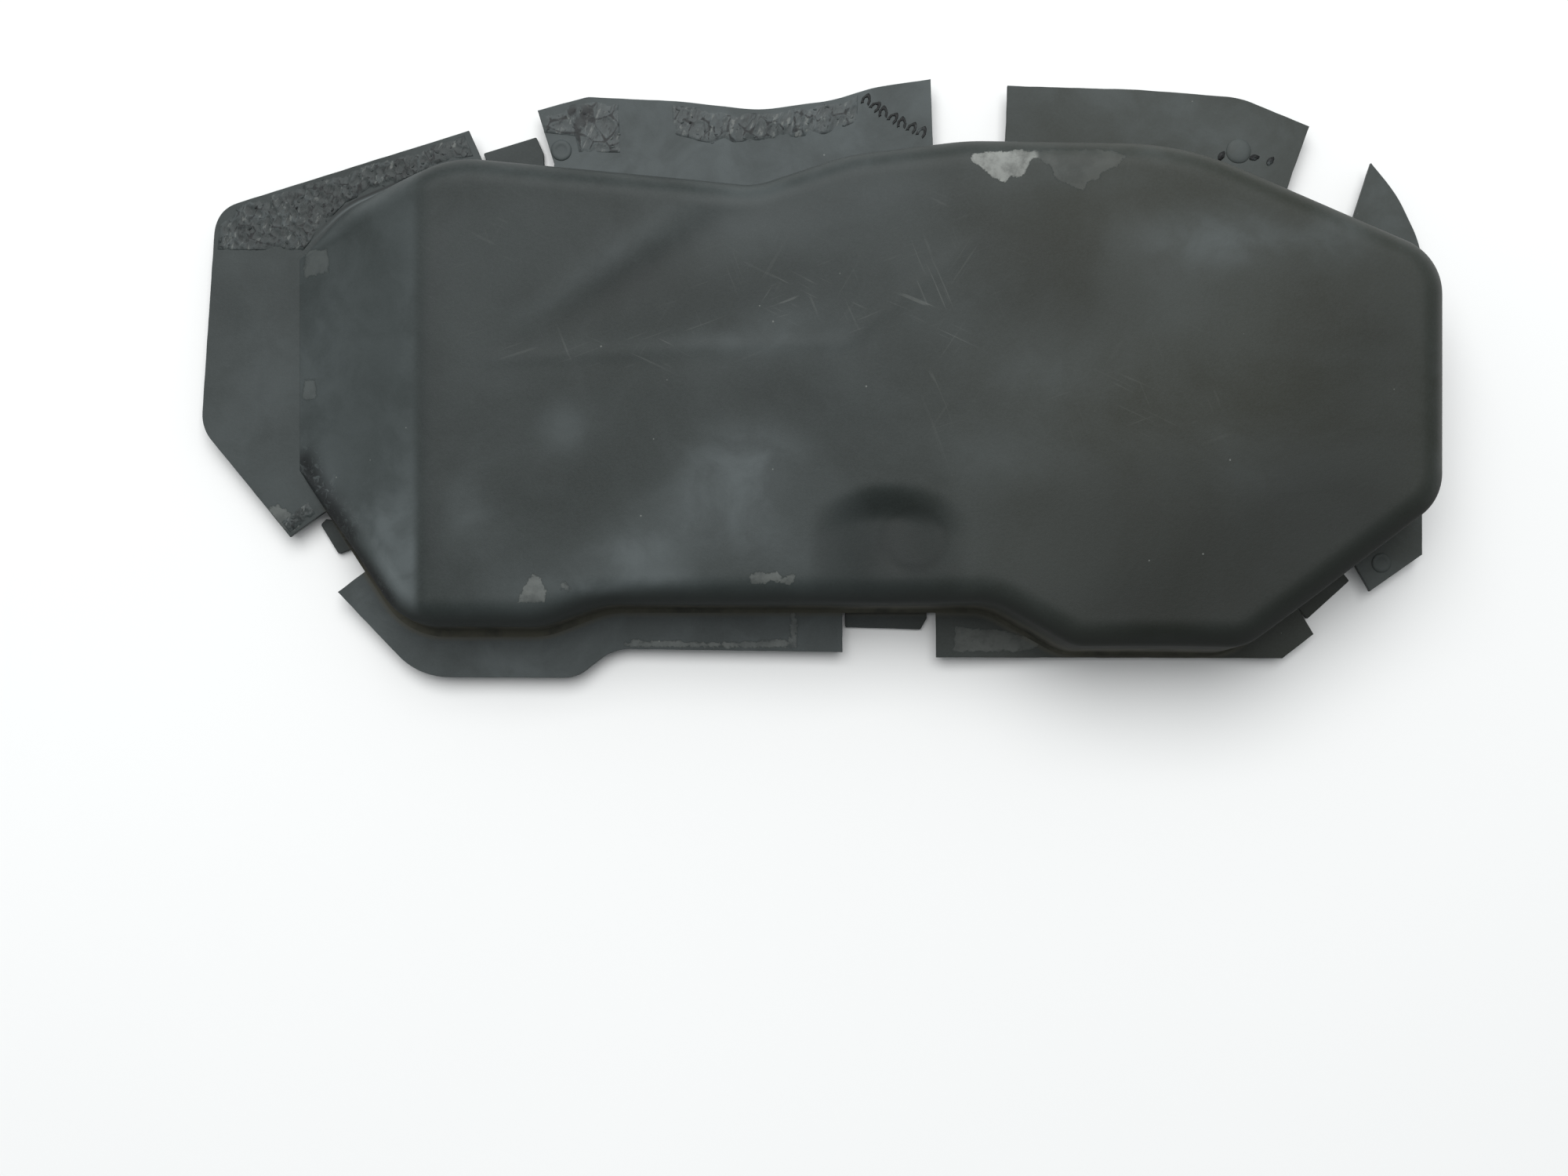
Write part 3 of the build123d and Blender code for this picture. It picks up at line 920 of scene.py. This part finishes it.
def band_group():
    """A soft band of a value about its middle."""
    def build(w, given):
        off = w.math("ABSOLUTE", w.math("SUBTRACT", given["Value"], given["Middle"]))
        return (w.between(off, given["Width"], 0.0),)
    return shader_group("Soft Band", [("Value", "NodeSocketFloat", 0.0),
                                      ("Middle", "NodeSocketFloat", 0.0),
                                      ("Width", "NodeSocketFloat", 1.0)], ["Mask"], build)


def blank_material(name):
    """A material without nodes, its wiring, and places on the object."""
    material = bpy.data.materials.new(name)
    material.use_nodes = True
    material.node_tree.nodes.clear()
    wiring = Wiring(material.node_tree)
    place = wiring.node("ShaderNodeTexCoord").outputs["Object"]
    return material, wiring, place


def close_material(wiring, colour, roughness, height, bump, distance, specular):
    """The shader and its bump, joined to the output."""
    inputs = {"Strength": bump, "Distance": distance, "Height": height}
    normal = wiring.node("ShaderNodeBump", inputs)
    shader = wiring.node("ShaderNodeBsdfPrincipled", {
        "Base Color": colour, "Roughness": roughness, "Normal": normal.outputs[0],
        "Specular IOR Level": specular,
    })
    wiring.node("ShaderNodeOutputMaterial", {"Surface": shader.outputs[0]})


def tinted(colour, share=1.0, tint=(1.0, 1.0, 1.0)):
    """A colour made darker or paler and tinted, with its alpha."""
    return tuple(share * c * t for c, t in zip(colour, tint)) + (1.0,)


def aged_rubber(w, place, finish, wall, grain_scale):
    """Colour, bloom mask and grain of the rubber everywhere, less bloomed on its walls."""
    grain = w.group(grain_group(), place=place, scale=grain_scale)
    mottle = w.between(grain["Mottle"], 0.3, 0.72)
    bloom = tinted(finish.bloom)
    x = w.node("ShaderNodeSeparateXYZ", {0: place}).outputs[0]
    browned = tinted(finish.rubber, 0.9, (1.0, 0.85, 0.56))
    colour = w.mix(mottle, tinted(finish.rubber, 0.92), tinted(finish.rubber))
    colour = w.mix(w.between(x, 0.0, 0.1, 0.0, 0.85), colour, browned)
    open_top = w.math("SUBTRACT", 1.0, wall, clamp=True)

    def cloudy(amount, scale, share):
        mask = w.group(bloom_group(), place=place, amount=amount, scale=scale, cloudy=share)
        return mask["Mask"]

    haze = cloudy(w.field("bloom"), 60.0, 0.5)
    film = cloudy(w.times(open_top, 0.12), 19.0, 1.0)
    dust = cloudy(w.times(open_top, 0.045), 1400.0, 1.0)
    colour = w.mix(w.times(w.times(haze, 0.68), open_top), colour, bloom)
    colour = w.mix(dust, w.mix(film, colour, bloom), bloom)
    return colour, haze, grain


def rubber_material(name, finish, on_pan):
    """Aged moulded rubber: mottled, bloomed, scuffed, with lifted skin, a paler band at the root,
    and painted shade and highlights on the pan.
    """
    if name in bpy.data.materials:
        return bpy.data.materials[name]
    material, w, place = blank_material(name)
    wall = w.field("wall")
    colour, haze, grain = aged_rubber(w, place, finish, wall, 760.0 if on_pan else 900.0)
    tones = (finish.bloom, finish.bare, finish.root_tone, finish.rubber)
    bloom, bare, root_tone, dark = map(tinted, tones)
    roughness = w.mix_value(haze, finish.roughness, finish.roughness + 0.1)
    height = grain["Height"]

    if on_pan:
        # darker rubber and painted shade from the shade field
        colour = w.mix(w.times(w.field("shade"), 0.6), colour, tinted(finish.rubber, 0.4))
        # painted shade: the lower walls darker, as they face away from the light
        colour = w.mix(w.times(wall, 0.42), colour, tinted(finish.rubber, 0.5))
        scuff = w.field("scuff")
        for angle, share in ((0.45, 0.9), (-0.35, 0.7), (1.2, 0.6), (-1.0, 0.4)):
            lines = w.group(hairline_group(), place=place, angle=angle,
                            amount=w.times(scuff, share))
            colour = w.mix(w.times(lines["Mask"], 0.24), colour, bare)
        # paler olive band in the root of the wall, mostly on its lower side
        streaky = w.between(w.noise(place, 95.0, 4.0, 0.65), 0.3, 0.6, 0.45, 1.0)
        colour = w.mix(w.times(w.field("grime"), streaky), colour, root_tone)
        # tar, nearly black in its lumps; at the lower left it also stands as painted shade of the
        # low wall
        tar = w.field("tar")
        lumps = w.noise(place, 420.0, 4.0, 0.7, 0.8)
        sticky = w.times(tar, w.between(lumps, 0.3, 0.5))
        colour = w.mix(w.times(sticky, 0.85), colour, BLACK)
        crumbs = w.times(tar, w.between(lumps, 0.66, 0.74))
        colour = w.mix(w.times(crumbs, 0.5), colour, bare)
        height = w.math("ADD", height, w.times(sticky, 3.0))
        # painted highlight along the upper rim
        rim_highlight = w.times(w.field("rim"), w.between(grain["Mottle"], 0.42, 0.7))
        colour = w.mix(w.times(rim_highlight, 0.2), colour, bloom)
        roughness = w.math("SUBTRACT", roughness, w.times(w.field("rim"), 0.1))
        roughness = w.math("ADD", roughness, w.times(wall, 0.3))
    else:
        root, along_seam, groove = w.field("root"), w.field("seam"), w.field("groove")
        # the paler olive root band, then a light line between two dark lines along the groove
        for middle, width, reach, tone in (
            (0.2, 1.5, along_seam, root_tone),
            (0.4, 0.6, groove, BLACK), (1.3, 0.5, groove, bloom), (2.2, 0.6, groove, BLACK),
        ):
            band = w.group(band_group(), value=root, middle=middle, width=width)["Mask"]
            colour = w.mix(w.times(w.times(band, reach), 0.7), colour, tone)

    torn = w.group(ragged_group(), place=place, depth=w.field("peel"))
    patchy = w.between(w.noise(place, 90.0, 5.0, 0.65), 0.4, 0.62)
    shown = w.mix(patchy, bare, tinted(finish.bare, 0.45))
    colour = w.mix(w.times(torn["Mask"], w.field("bare")), colour, shown)
    colour = w.mix(w.times(torn["Lip"], 0.35), colour, dark)
    height = w.math("SUBTRACT", height, w.times(torn["Mask"], 0.9))
    specks = w.group(speck_group(), place=place, scale=260.0, size=0.085, share=0.05)["Mask"]
    colour = w.mix(w.times(specks, 0.5), colour, bare)
    close_material(w, colour, roughness, height, 0.35, 0.00012, finish.gloss)
    return material


def compound_material(name, finish):
    """Set sealing compound: dull grey skin, dark in its cracks and pits with painted shadow of the
    raised rims, paler on its crests with dust and a painted highlight.
    """
    if name in bpy.data.materials:
        return bpy.data.materials[name]
    material, w, place = blank_material(name)
    colour, _, grain = aged_rubber(w, place, finish, 0.0, 1300.0)
    broken = w.noise(place, 210.0, 4.0, 0.65, 0.5)
    show = w.field("show")
    dried = w.times(show, w.between(broken, 0.3, 0.7, 0.05, 0.5))
    colour = w.mix(dried, colour, tinted(finish.compound))
    drawn = w.vector("MULTIPLY", w.turned(place, radians(-72)), (0.28, 1.0, 1.0))
    pulled = w.noise(drawn, 760.0, 3.0, 0.6, 0.4)
    crest = w.times(w.field("crest"), w.between(broken, 0.4, 0.6))
    # crests paler: dust, and a painted highlight on the raised rims
    colour = w.mix(w.times(crest, 0.4), colour, tinted(finish.bloom, 1.3))
    strands = w.times(w.between(pulled, 0.54, 0.64), w.between(broken, 0.45, 0.56))
    colour = w.mix(w.times(w.times(strands, show), 0.4), colour, tinted(finish.bare))
    # pits and cracks near black below: real cracks, with painted shadow of the raised rims
    pits = w.times(w.between(pulled, 0.48, 0.38), w.between(broken, 0.58, 0.45))
    crack = w.times(w.between(w.field("border"), 0.15, 0.05), w.between(broken, 0.66, 0.5))
    sunk = w.math("MAXIMUM", crack, w.times(pits, 0.6))
    colour = w.mix(w.times(w.times(sunk, show), 0.85), colour, BLACK)
    height = w.math("ADD", grain["Height"], w.times(broken, 0.9))
    roughness = w.mix_value(crest, finish.roughness - 0.08, finish.roughness + 0.15)
    close_material(w, colour, roughness, height, 0.5, 0.0002, finish.gloss)
    return material


def stroke_material(name, finish):
    """Pulled strokes of compound, nearly black with a duller crown."""
    if name in bpy.data.materials:
        return bpy.data.materials[name]
    material, w, place = blank_material(name)
    streak = w.noise(place, 900.0, 4.0, 0.7, 1.0)
    colour = w.mix(w.between(streak, 0.4, 0.7), BLACK, tinted(finish.compound, 0.8))
    dull = w.between(w.noise(place, 330.0, 3.0), 0.58, 0.72, 0.0, 0.5)
    colour = w.mix(dull, colour, tinted(finish.bloom))
    close_material(w, colour, w.mix_value(streak, 0.42, 0.6), streak, 0.6, 0.00025, finish.gloss)
    return material


def floor_material(finish):
    """Plain pale board with the faintest clouding."""
    material, w, place = blank_material("pale_board")
    cloud = w.between(w.noise(place, 3.0, 3.0), 0.3, 0.7)
    colour = w.mix(cloud, tinted(finish.floor), tinted(finish.floor, 0.985))
    close_material(w, colour, 0.85, w.noise(place, 700.0, 2.0), 0.05, 0.0001, 0.2)
    return material


def geometry_tree(name, inputs):
    """An empty geometry node tree with named inputs and one geometry output."""
    tree = bpy.data.node_groups.new(name, "GeometryNodeTree")
    tree.interface.new_socket("Geometry", in_out="OUTPUT", socket_type="NodeSocketGeometry")
    for label, kind in inputs:
        tree.interface.new_socket(label, in_out="INPUT", socket_type=kind)
    wiring = Wiring(tree)
    return tree, wiring, wiring.node("NodeGroupInput").outputs


def close_tree(w, instances, material):
    """Makes the instances real and smooth and gives them their material."""
    real = w.node("GeometryNodeRealizeInstances", {0: instances})
    shaded = w.node("GeometryNodeSetShadeSmooth", {0: real.outputs[0]})
    inputs = {"Geometry": shaded.outputs[0], "Material": material}
    return w.node("GeometryNodeSetMaterial", inputs).outputs[0]


def stroke_tree():
    """Strokes laid along an arc, lumpy or curled, each turned a little by chance."""
    name = "Strokes Along Arc"
    if name in bpy.data.node_groups:
        return bpy.data.node_groups[name]
    tree, w, given = geometry_tree(name, [
        ("Start", "NodeSocketVector"), ("Middle", "NodeSocketVector"), ("End", "NodeSocketVector"),
        ("Count", "NodeSocketInt"), ("Size", "NodeSocketVector"), ("Lean", "NodeSocketFloat"),
        ("Chance", "NodeSocketFloat"), ("Curled", "NodeSocketBool"), ("Seed", "NodeSocketInt"),
        ("Material", "NodeSocketMaterial"),
    ])
    ends = {label: given[label] for label in ("Start", "Middle", "End")}
    arc = w.node("GeometryNodeCurveArc", ends, mode="POINTS")
    along = {"Curve": arc.outputs[0], "Count": given["Count"]}
    spots = w.node("GeometryNodeCurveToPoints", along, mode="COUNT")
    lump = w.node("GeometryNodeMeshIcoSphere", {"Radius": 0.5, "Subdivisions": 4})
    rough = w.node("ShaderNodeTexNoise", {"Scale": 3.4, "Detail": 2.0})
    push = w.vector("SCALE", w.vector("ADD", rough.outputs[1], (-0.5, -0.5, -0.5)), 0.42)
    bend = w.node("GeometryNodeCurveArc", {
        "Resolution": 20, "Radius": 0.4, "Start Angle": radians(-115), "Sweep Angle": radians(230)})
    tube = w.node("GeometryNodeCurvePrimitiveCircle", {"Resolution": 10, "Radius": 0.13})
    curl = w.node("GeometryNodeCurveToMesh", {
        "Curve": bend.outputs[0], "Profile Curve": tube.outputs[0], "Fill Caps": True})
    shape = w.node("GeometryNodeSwitch", {
        "Switch": given["Curled"], "False": lump.outputs[0], "True": curl.outputs[0],
    }, input_type="GEOMETRY")
    stroke = w.node("GeometryNodeSetPosition", {"Geometry": shape.outputs[0], "Offset": push})
    facing = w.node("FunctionNodeAlignRotationToVector", {"Vector": spots.outputs["Tangent"]},
                    axis="X", pivot_axis="Z")
    turn = w.node("FunctionNodeRandomValue", {
        "Seed": given["Seed"], 2: w.math("SUBTRACT", given["Lean"], given["Chance"]),
        3: w.math("ADD", given["Lean"], given["Chance"])}, data_type="FLOAT")
    spin = w.node("ShaderNodeCombineXYZ", {"Z": turn.outputs[1]})
    spun = w.node("FunctionNodeEulerToRotation", {0: spin.outputs[0]})
    turned = w.node("FunctionNodeRotateRotation", {0: facing.outputs[0], 1: spun.outputs[0]},
                    rotation_space="LOCAL")
    placed = w.node("GeometryNodeInstanceOnPoints", {
        "Points": spots.outputs[0], "Instance": stroke.outputs[0], "Rotation": turned.outputs[0],
        "Scale": given["Size"]})
    w.node("NodeGroupOutput", {0: close_tree(w, placed.outputs[0], given["Material"])})
    return tree


def crumb_tree():
    """Small crumbs of compound scattered over a patch, standing on it."""
    name = "Crumbs On Patch"
    if name in bpy.data.node_groups:
        return bpy.data.node_groups[name]
    tree, w, given = geometry_tree(name, [
        ("Patch", "NodeSocketGeometry"), ("Density", "NodeSocketFloat"),
        ("Smallest", "NodeSocketFloat"), ("Largest", "NodeSocketFloat"),
        ("Seed", "NodeSocketInt"), ("Material", "NodeSocketMaterial"),
    ])
    normal = w.node("GeometryNodeInputNormal").outputs[0]
    upward = w.node("ShaderNodeSeparateXYZ", {0: normal}).outputs[2]
    spots = w.node("GeometryNodeDistributePointsOnFaces", {
        "Mesh": given["Patch"], "Selection": w.math("GREATER_THAN", upward, 0.7),
        "Density": given["Density"], "Seed": given["Seed"]})
    crumb = w.node("GeometryNodeMeshIcoSphere", {"Radius": 0.5, "Subdivisions": 2})
    size = w.node("FunctionNodeRandomValue", {
        "Seed": given["Seed"], 2: given["Smallest"], 3: given["Largest"]}, data_type="FLOAT")
    spin = w.node("FunctionNodeRandomValue", {
        0: (0.0, 0.0, 0.0), 1: (0.4, 0.4, 6.3), "Seed": given["Seed"]}, data_type="FLOAT_VECTOR")
    placed = w.node("GeometryNodeInstanceOnPoints", {
        "Points": spots.outputs[0], "Instance": crumb.outputs[0], "Rotation": spin.outputs[0],
        "Scale": w.vector("SCALE", (1.7, 0.8, 0.55), size.outputs[1])})
    joined = w.node("GeometryNodeJoinGeometry")
    w.tree.links.new(close_tree(w, placed.outputs[0], given["Material"]), joined.inputs[0])
    w.tree.links.new(given["Patch"], joined.inputs[0])
    w.node("NodeGroupOutput", {0: joined.outputs[0]})
    return tree


def run_tree(piece, tree, values):
    """Runs a geometry node tree on the piece and keeps the result as its plain mesh."""
    modifier = piece.modifiers.new(tree.name, "NODES")
    modifier.node_group = tree
    for item in tree.interface.items_tree:
        if item.in_out == "INPUT" and item.name in values:
            modifier[item.identifier] = values[item.name]
    graph = bpy.context.evaluated_depsgraph_get()
    graph.update()
    mesh = bpy.data.meshes.new_from_object(
        piece.evaluated_get(graph), preserve_all_data_layers=True, depsgraph=graph)
    piece.modifiers.remove(modifier)
    piece.data = mesh
    mesh.name = piece.name
    return piece


# ---- sizes, finishes and stage ----------------------------------------------------------------
class CoverSizes(bpy.types.PropertyGroup):
    """Sizes of the moulding"""

    wall: bpy.props.FloatProperty(
        name="Wall", description="Thickness of the moulded wall", unit="LENGTH",
        default=THICKNESS * MM)
    draft: bpy.props.FloatProperty(
        name="Draft", description="Lean of the side wall", subtype="ANGLE", default=radians(5))
    rim_radius: bpy.props.FloatProperty(
        name="Rim Radius", description="Rounding between wall and top", unit="LENGTH",
        default=0.008)
    root_radius: bpy.props.FloatProperty(
        name="Root Radius", description="Flare where the wall meets a flange", unit="LENGTH",
        default=0.0015)
    fold_height: bpy.props.FloatProperty(
        name="Fold Height", description="Height of the fold across the top", unit="LENGTH",
        default=0.0007)
    recess_depth: bpy.props.FloatProperty(
        name="Hollow Depth", description="Depth of the arched hollow", unit="LENGTH",
        default=0.004)
    compound_height: bpy.props.FloatProperty(
        name="Compound Height", description="Most that the sealing compound stands proud",
        unit="LENGTH", default=0.0007)
    mesh_step: bpy.props.FloatProperty(
        name="Mesh Step", description="Distance between mesh points", unit="LENGTH",
        default=0.0014)


def colour_property(name, description, default):
    """A plain colour that can be set in the panel."""
    return bpy.props.FloatVectorProperty(
        name=name, description=description, subtype="COLOR", size=3, min=0, max=1, default=default)


class CoverFinish(bpy.types.PropertyGroup):
    """Colours and gloss of the rubber and the compound"""

    rubber: colour_property("Rubber", "Rubber where it is clean", (0.0168, 0.0216, 0.0202))
    bloom: colour_property("Bloom", "Pale bloom on the rubber", (0.1, 0.116, 0.119))
    bare: colour_property("Bare Rubber", "Rubber under the lifted skin", (0.2, 0.21, 0.197))
    # paler olive band at the root of the wall and on the flanges beside it
    root_tone: colour_property("Root Tone", "Paler olive band at the foot of the wall", (0.058, 0.057, 0.044))
    compound: colour_property("Compound", "Set sealing compound", (0.022, 0.025, 0.0245))
    floor: colour_property("Floor", "Board that the cover lies on", (0.78, 0.785, 0.78))
    roughness: bpy.props.FloatProperty(
        name="Roughness", description="Roughness of clean rubber", subtype="FACTOR", min=0, max=1,
        default=0.52)
    gloss: bpy.props.FloatProperty(
        name="Gloss", description="Strength of the shine", subtype="FACTOR", min=0, max=1,
        default=0.2)


class CoverStage(bpy.types.PropertyGroup):
    """Camera and light"""

    camera_place: bpy.props.FloatVectorProperty(
        name="Camera", description="Where the camera stands", subtype="TRANSLATION",
        unit="LENGTH", default=(-0.0083, -0.0635, 0.6))
    lens: bpy.props.FloatProperty(
        name="Lens", description="Focal length in millimetres", default=44.93)
    light_place: bpy.props.FloatVectorProperty(
        name="Light", description="Middle of the large soft light", subtype="TRANSLATION",
        unit="LENGTH", default=(-0.12, 0.72, 1.55))
    light_size: bpy.props.FloatProperty(
        name="Light Size", description="Side of the soft light", unit="LENGTH", default=1.5)
    light_power: bpy.props.FloatProperty(
        name="Light Power", description="Power in watts", default=34.0)
    sky: bpy.props.FloatProperty(
        name="Sky", description="Strength of the even light all round", default=0.75)


# ---- operators --------------------------------------------------------------------------------
def flange_rubber(context):
    """The rubber of everything but the pan."""
    return rubber_material("flange_rubber", context.scene.cover_finish, on_pan=False)


class COVER_OT_pan(bpy.types.Operator):
    """Build the hollow pan"""

    bl_idname = "cover.pan"
    bl_label = "Pan"

    def execute(self, context):
        scene = context.scene
        material = rubber_material("pan_rubber", scene.cover_finish, on_pan=True)
        finish_piece(build_pan(scene.cover_sizes, material), "cover", "rubber", "shell")
        return {"FINISHED"}


class COVER_OT_stiff_flanges(bpy.types.Operator):
    """Build the four flanges that do not bend"""

    bl_idname = "cover.stiff_flanges"
    bl_label = "Stiff Flanges"

    def execute(self, context):
        material = flange_rubber(context)
        for node, corners in STIFF_FLANGES.items():
            piece = build_plate(node + "_skin", corners, material, 1.3, FLANGE_LOW,
                                FLANGE_BLOOM[node])
            finish_piece(piece, "cover", "rubber", node)
        return {"FINISHED"}


class COVER_OT_long_flaps(bpy.types.Operator):
    """Build the two long flaps"""

    bl_idname = "cover.long_flaps"
    bl_label = "Long Flaps"

    def execute(self, context):
        material = flange_rubber(context)
        for node, (body, corners) in LONG_FLAPS.items():
            piece = build_plate(node + "_skin", corners, material, 1.1, FLANGE_LOW,
                                FLANGE_BLOOM[node])
            bend_piece(piece, body, "rubber", 2.0, 3.0, node)
        return {"FINISHED"}


class COVER_OT_tabs(bpy.types.Operator):
    """Build the four tabs that grip behind the panel"""

    bl_idname = "cover.tabs"
    bl_label = "Gripping Tabs"

    def execute(self, context):
        material = flange_rubber(context)
        for node, (wall, outer) in TABS.items():
            corners = [(x, y, 0) for x, y in wall] + outer
            piece = build_plate(node + "_skin", corners, material, 0.8, 0.0, 0.12, fray=0.08,
                                swaying=False)
            bend_piece(piece, node, "rubber", 1.3, 1.3, node)
        return {"FINISHED"}


class COVER_OT_round_marks(bpy.types.Operator):
    """Build the pips and the dome moulded on the flanges"""

    bl_idname = "cover.round_marks"
    bl_label = "Round Marks"

    def execute(self, context):
        material = flange_rubber(context)
        for node, (body, centre, radius, height, dished) in ROUND_MARKS.items():
            piece = build_round_mark(node + "_boss", centre, radius, height, dished, material)
            finish_piece(piece, body, "rubber", node)
        return {"FINISHED"}


class COVER_OT_compound(bpy.types.Operator):
    """Build the crazed sealing compound left on the flanges"""

    bl_idname = "cover.compound"
    bl_label = "Sealing Compound"

    def execute(self, context):
        scene = context.scene
        material = compound_material("set_compound", scene.cover_finish)
        for node, (body, outline, length, width, turn, seed) in COMPOUND.items():
            bloom = FLANGE_BLOOM["top_flange" if body == "top_flap" else "left_flange"]
            piece = build_patch(node + "_skin", outline, length, width, turn, seed, bloom,
                                material, scene.cover_sizes)
            run_tree(piece, crumb_tree(), {
                "Density": 60000.0, "Smallest": 0.0003, "Largest": 0.0009, "Seed": seed,
                "Material": material})
            finish_piece(piece, body, "sealant", node)
        return {"FINISHED"}


class COVER_OT_strokes(bpy.types.Operator):
    """Build the strokes and dabs of compound"""

    bl_idname = "cover.strokes"
    bl_label = "Strokes and Dabs"

    def execute(self, context):
        material = stroke_material("stroke_compound", context.scene.cover_finish)
        for node, (body, arc, count, size, lean, chance, curled, seed) in STROKES.items():
            piece = add_object(node + "_lumps", bpy.data.meshes.new(node))
            start, middle, end = (Vector((x, y, FLANGE_TOP + 0.1)) * MM for x, y in arc)
            run_tree(piece, stroke_tree(), {
                "Start": start, "Middle": middle, "End": end, "Count": count,
                "Size": Vector(size) * MM, "Lean": lean, "Chance": chance, "Curled": curled,
                "Seed": seed, "Material": material})
            finish_piece(piece, body, "sealant", node)
        return {"FINISHED"}


class COVER_OT_stage(bpy.types.Operator):
    """Set up the pale floor, the soft light and the camera"""

    bl_idname = "cover.stage"
    bl_label = "Stage"

    def execute(self, context):
        scene, stage = context.scene, context.scene.cover_stage
        side, below = 7000.0, -0.15
        corners = [(-side, -side, below), (side, -side, below), (side, side, below),
                   (-side, side, below)]
        new_piece("floor", corners, [(0, 1, 2, 3)], floor_material(scene.cover_finish))
        world = bpy.data.worlds.new("even_light")
        world.use_nodes = True
        w = Wiring(world.node_tree)
        backdrop = world.node_tree.nodes["Background"]
        toward = w.node("ShaderNodeTexCoord").outputs["Generated"]
        forward = w.node("ShaderNodeSeparateXYZ", {0: toward}).outputs[1]
        glow = w.between(forward, -0.7, 0.6, 0.28, 1.0)
        shine = w.mix(glow, (0.0, 0.0, 0.0, 1.0), (0.95, 0.98, 1.0, 1.0))
        world.node_tree.links.new(shine, backdrop.inputs["Color"])
        backdrop.inputs["Strength"].default_value = stage.sky
        scene.world = world
        lamp = bpy.data.lights.new("soft_light", "AREA")
        lamp.size, lamp.energy = stage.light_size, stage.light_power
        lit = add_object("soft_light", lamp, stage.light_place)
        lit.rotation_euler = (-Vector(stage.light_place)).to_track_quat("-Z", "Y").to_euler()
        camera = bpy.data.cameras.new("camera")
        camera.lens, camera.sensor_width, camera.clip_end = stage.lens, 36.0, 20.0
        stand = add_object("camera", camera, stage.camera_place)
        scene.camera = stand
        scene.view_settings.view_transform = "Standard"
        return {"FINISHED"}


class COVER_PT_panel(bpy.types.Panel):
    """Lists the steps that build the cover"""

    bl_idname = "COVER_PT_panel"
    bl_label = "Slotted Rubber Cover"
    bl_space_type = "VIEW_3D"
    bl_region_type = "UI"
    bl_category = "Cover"

    def draw(self, context):
        for step in STEPS:
            self.layout.operator(step.bl_idname)
        scene = context.scene
        for group in (scene.cover_sizes, scene.cover_finish, scene.cover_stage):
            for name in group.__annotations__:
                self.layout.prop(group, name)


STEPS = (COVER_OT_pan, COVER_OT_stiff_flanges, COVER_OT_long_flaps, COVER_OT_tabs,
         COVER_OT_round_marks, COVER_OT_compound, COVER_OT_strokes, COVER_OT_stage)
CLASSES = (CoverSizes, CoverFinish, CoverStage, *STEPS, COVER_PT_panel)


def register():
    for entry in CLASSES:
        bpy.utils.register_class(entry)
    bpy.types.Scene.cover_sizes = bpy.props.PointerProperty(type=CoverSizes)
    bpy.types.Scene.cover_finish = bpy.props.PointerProperty(type=CoverFinish)
    bpy.types.Scene.cover_stage = bpy.props.PointerProperty(type=CoverStage)


def unregister():
    del bpy.types.Scene.cover_stage, bpy.types.Scene.cover_finish, bpy.types.Scene.cover_sizes
    for entry in reversed(CLASSES):
        bpy.utils.unregister_class(entry)


def main():
    register()
    bpy.ops.cover.pan()
    bpy.ops.cover.stiff_flanges()
    bpy.ops.cover.long_flaps()
    bpy.ops.cover.tabs()
    bpy.ops.cover.round_marks()
    bpy.ops.cover.compound()
    bpy.ops.cover.strokes()
    bpy.ops.cover.stage()


if __name__ == "__main__":
    main()
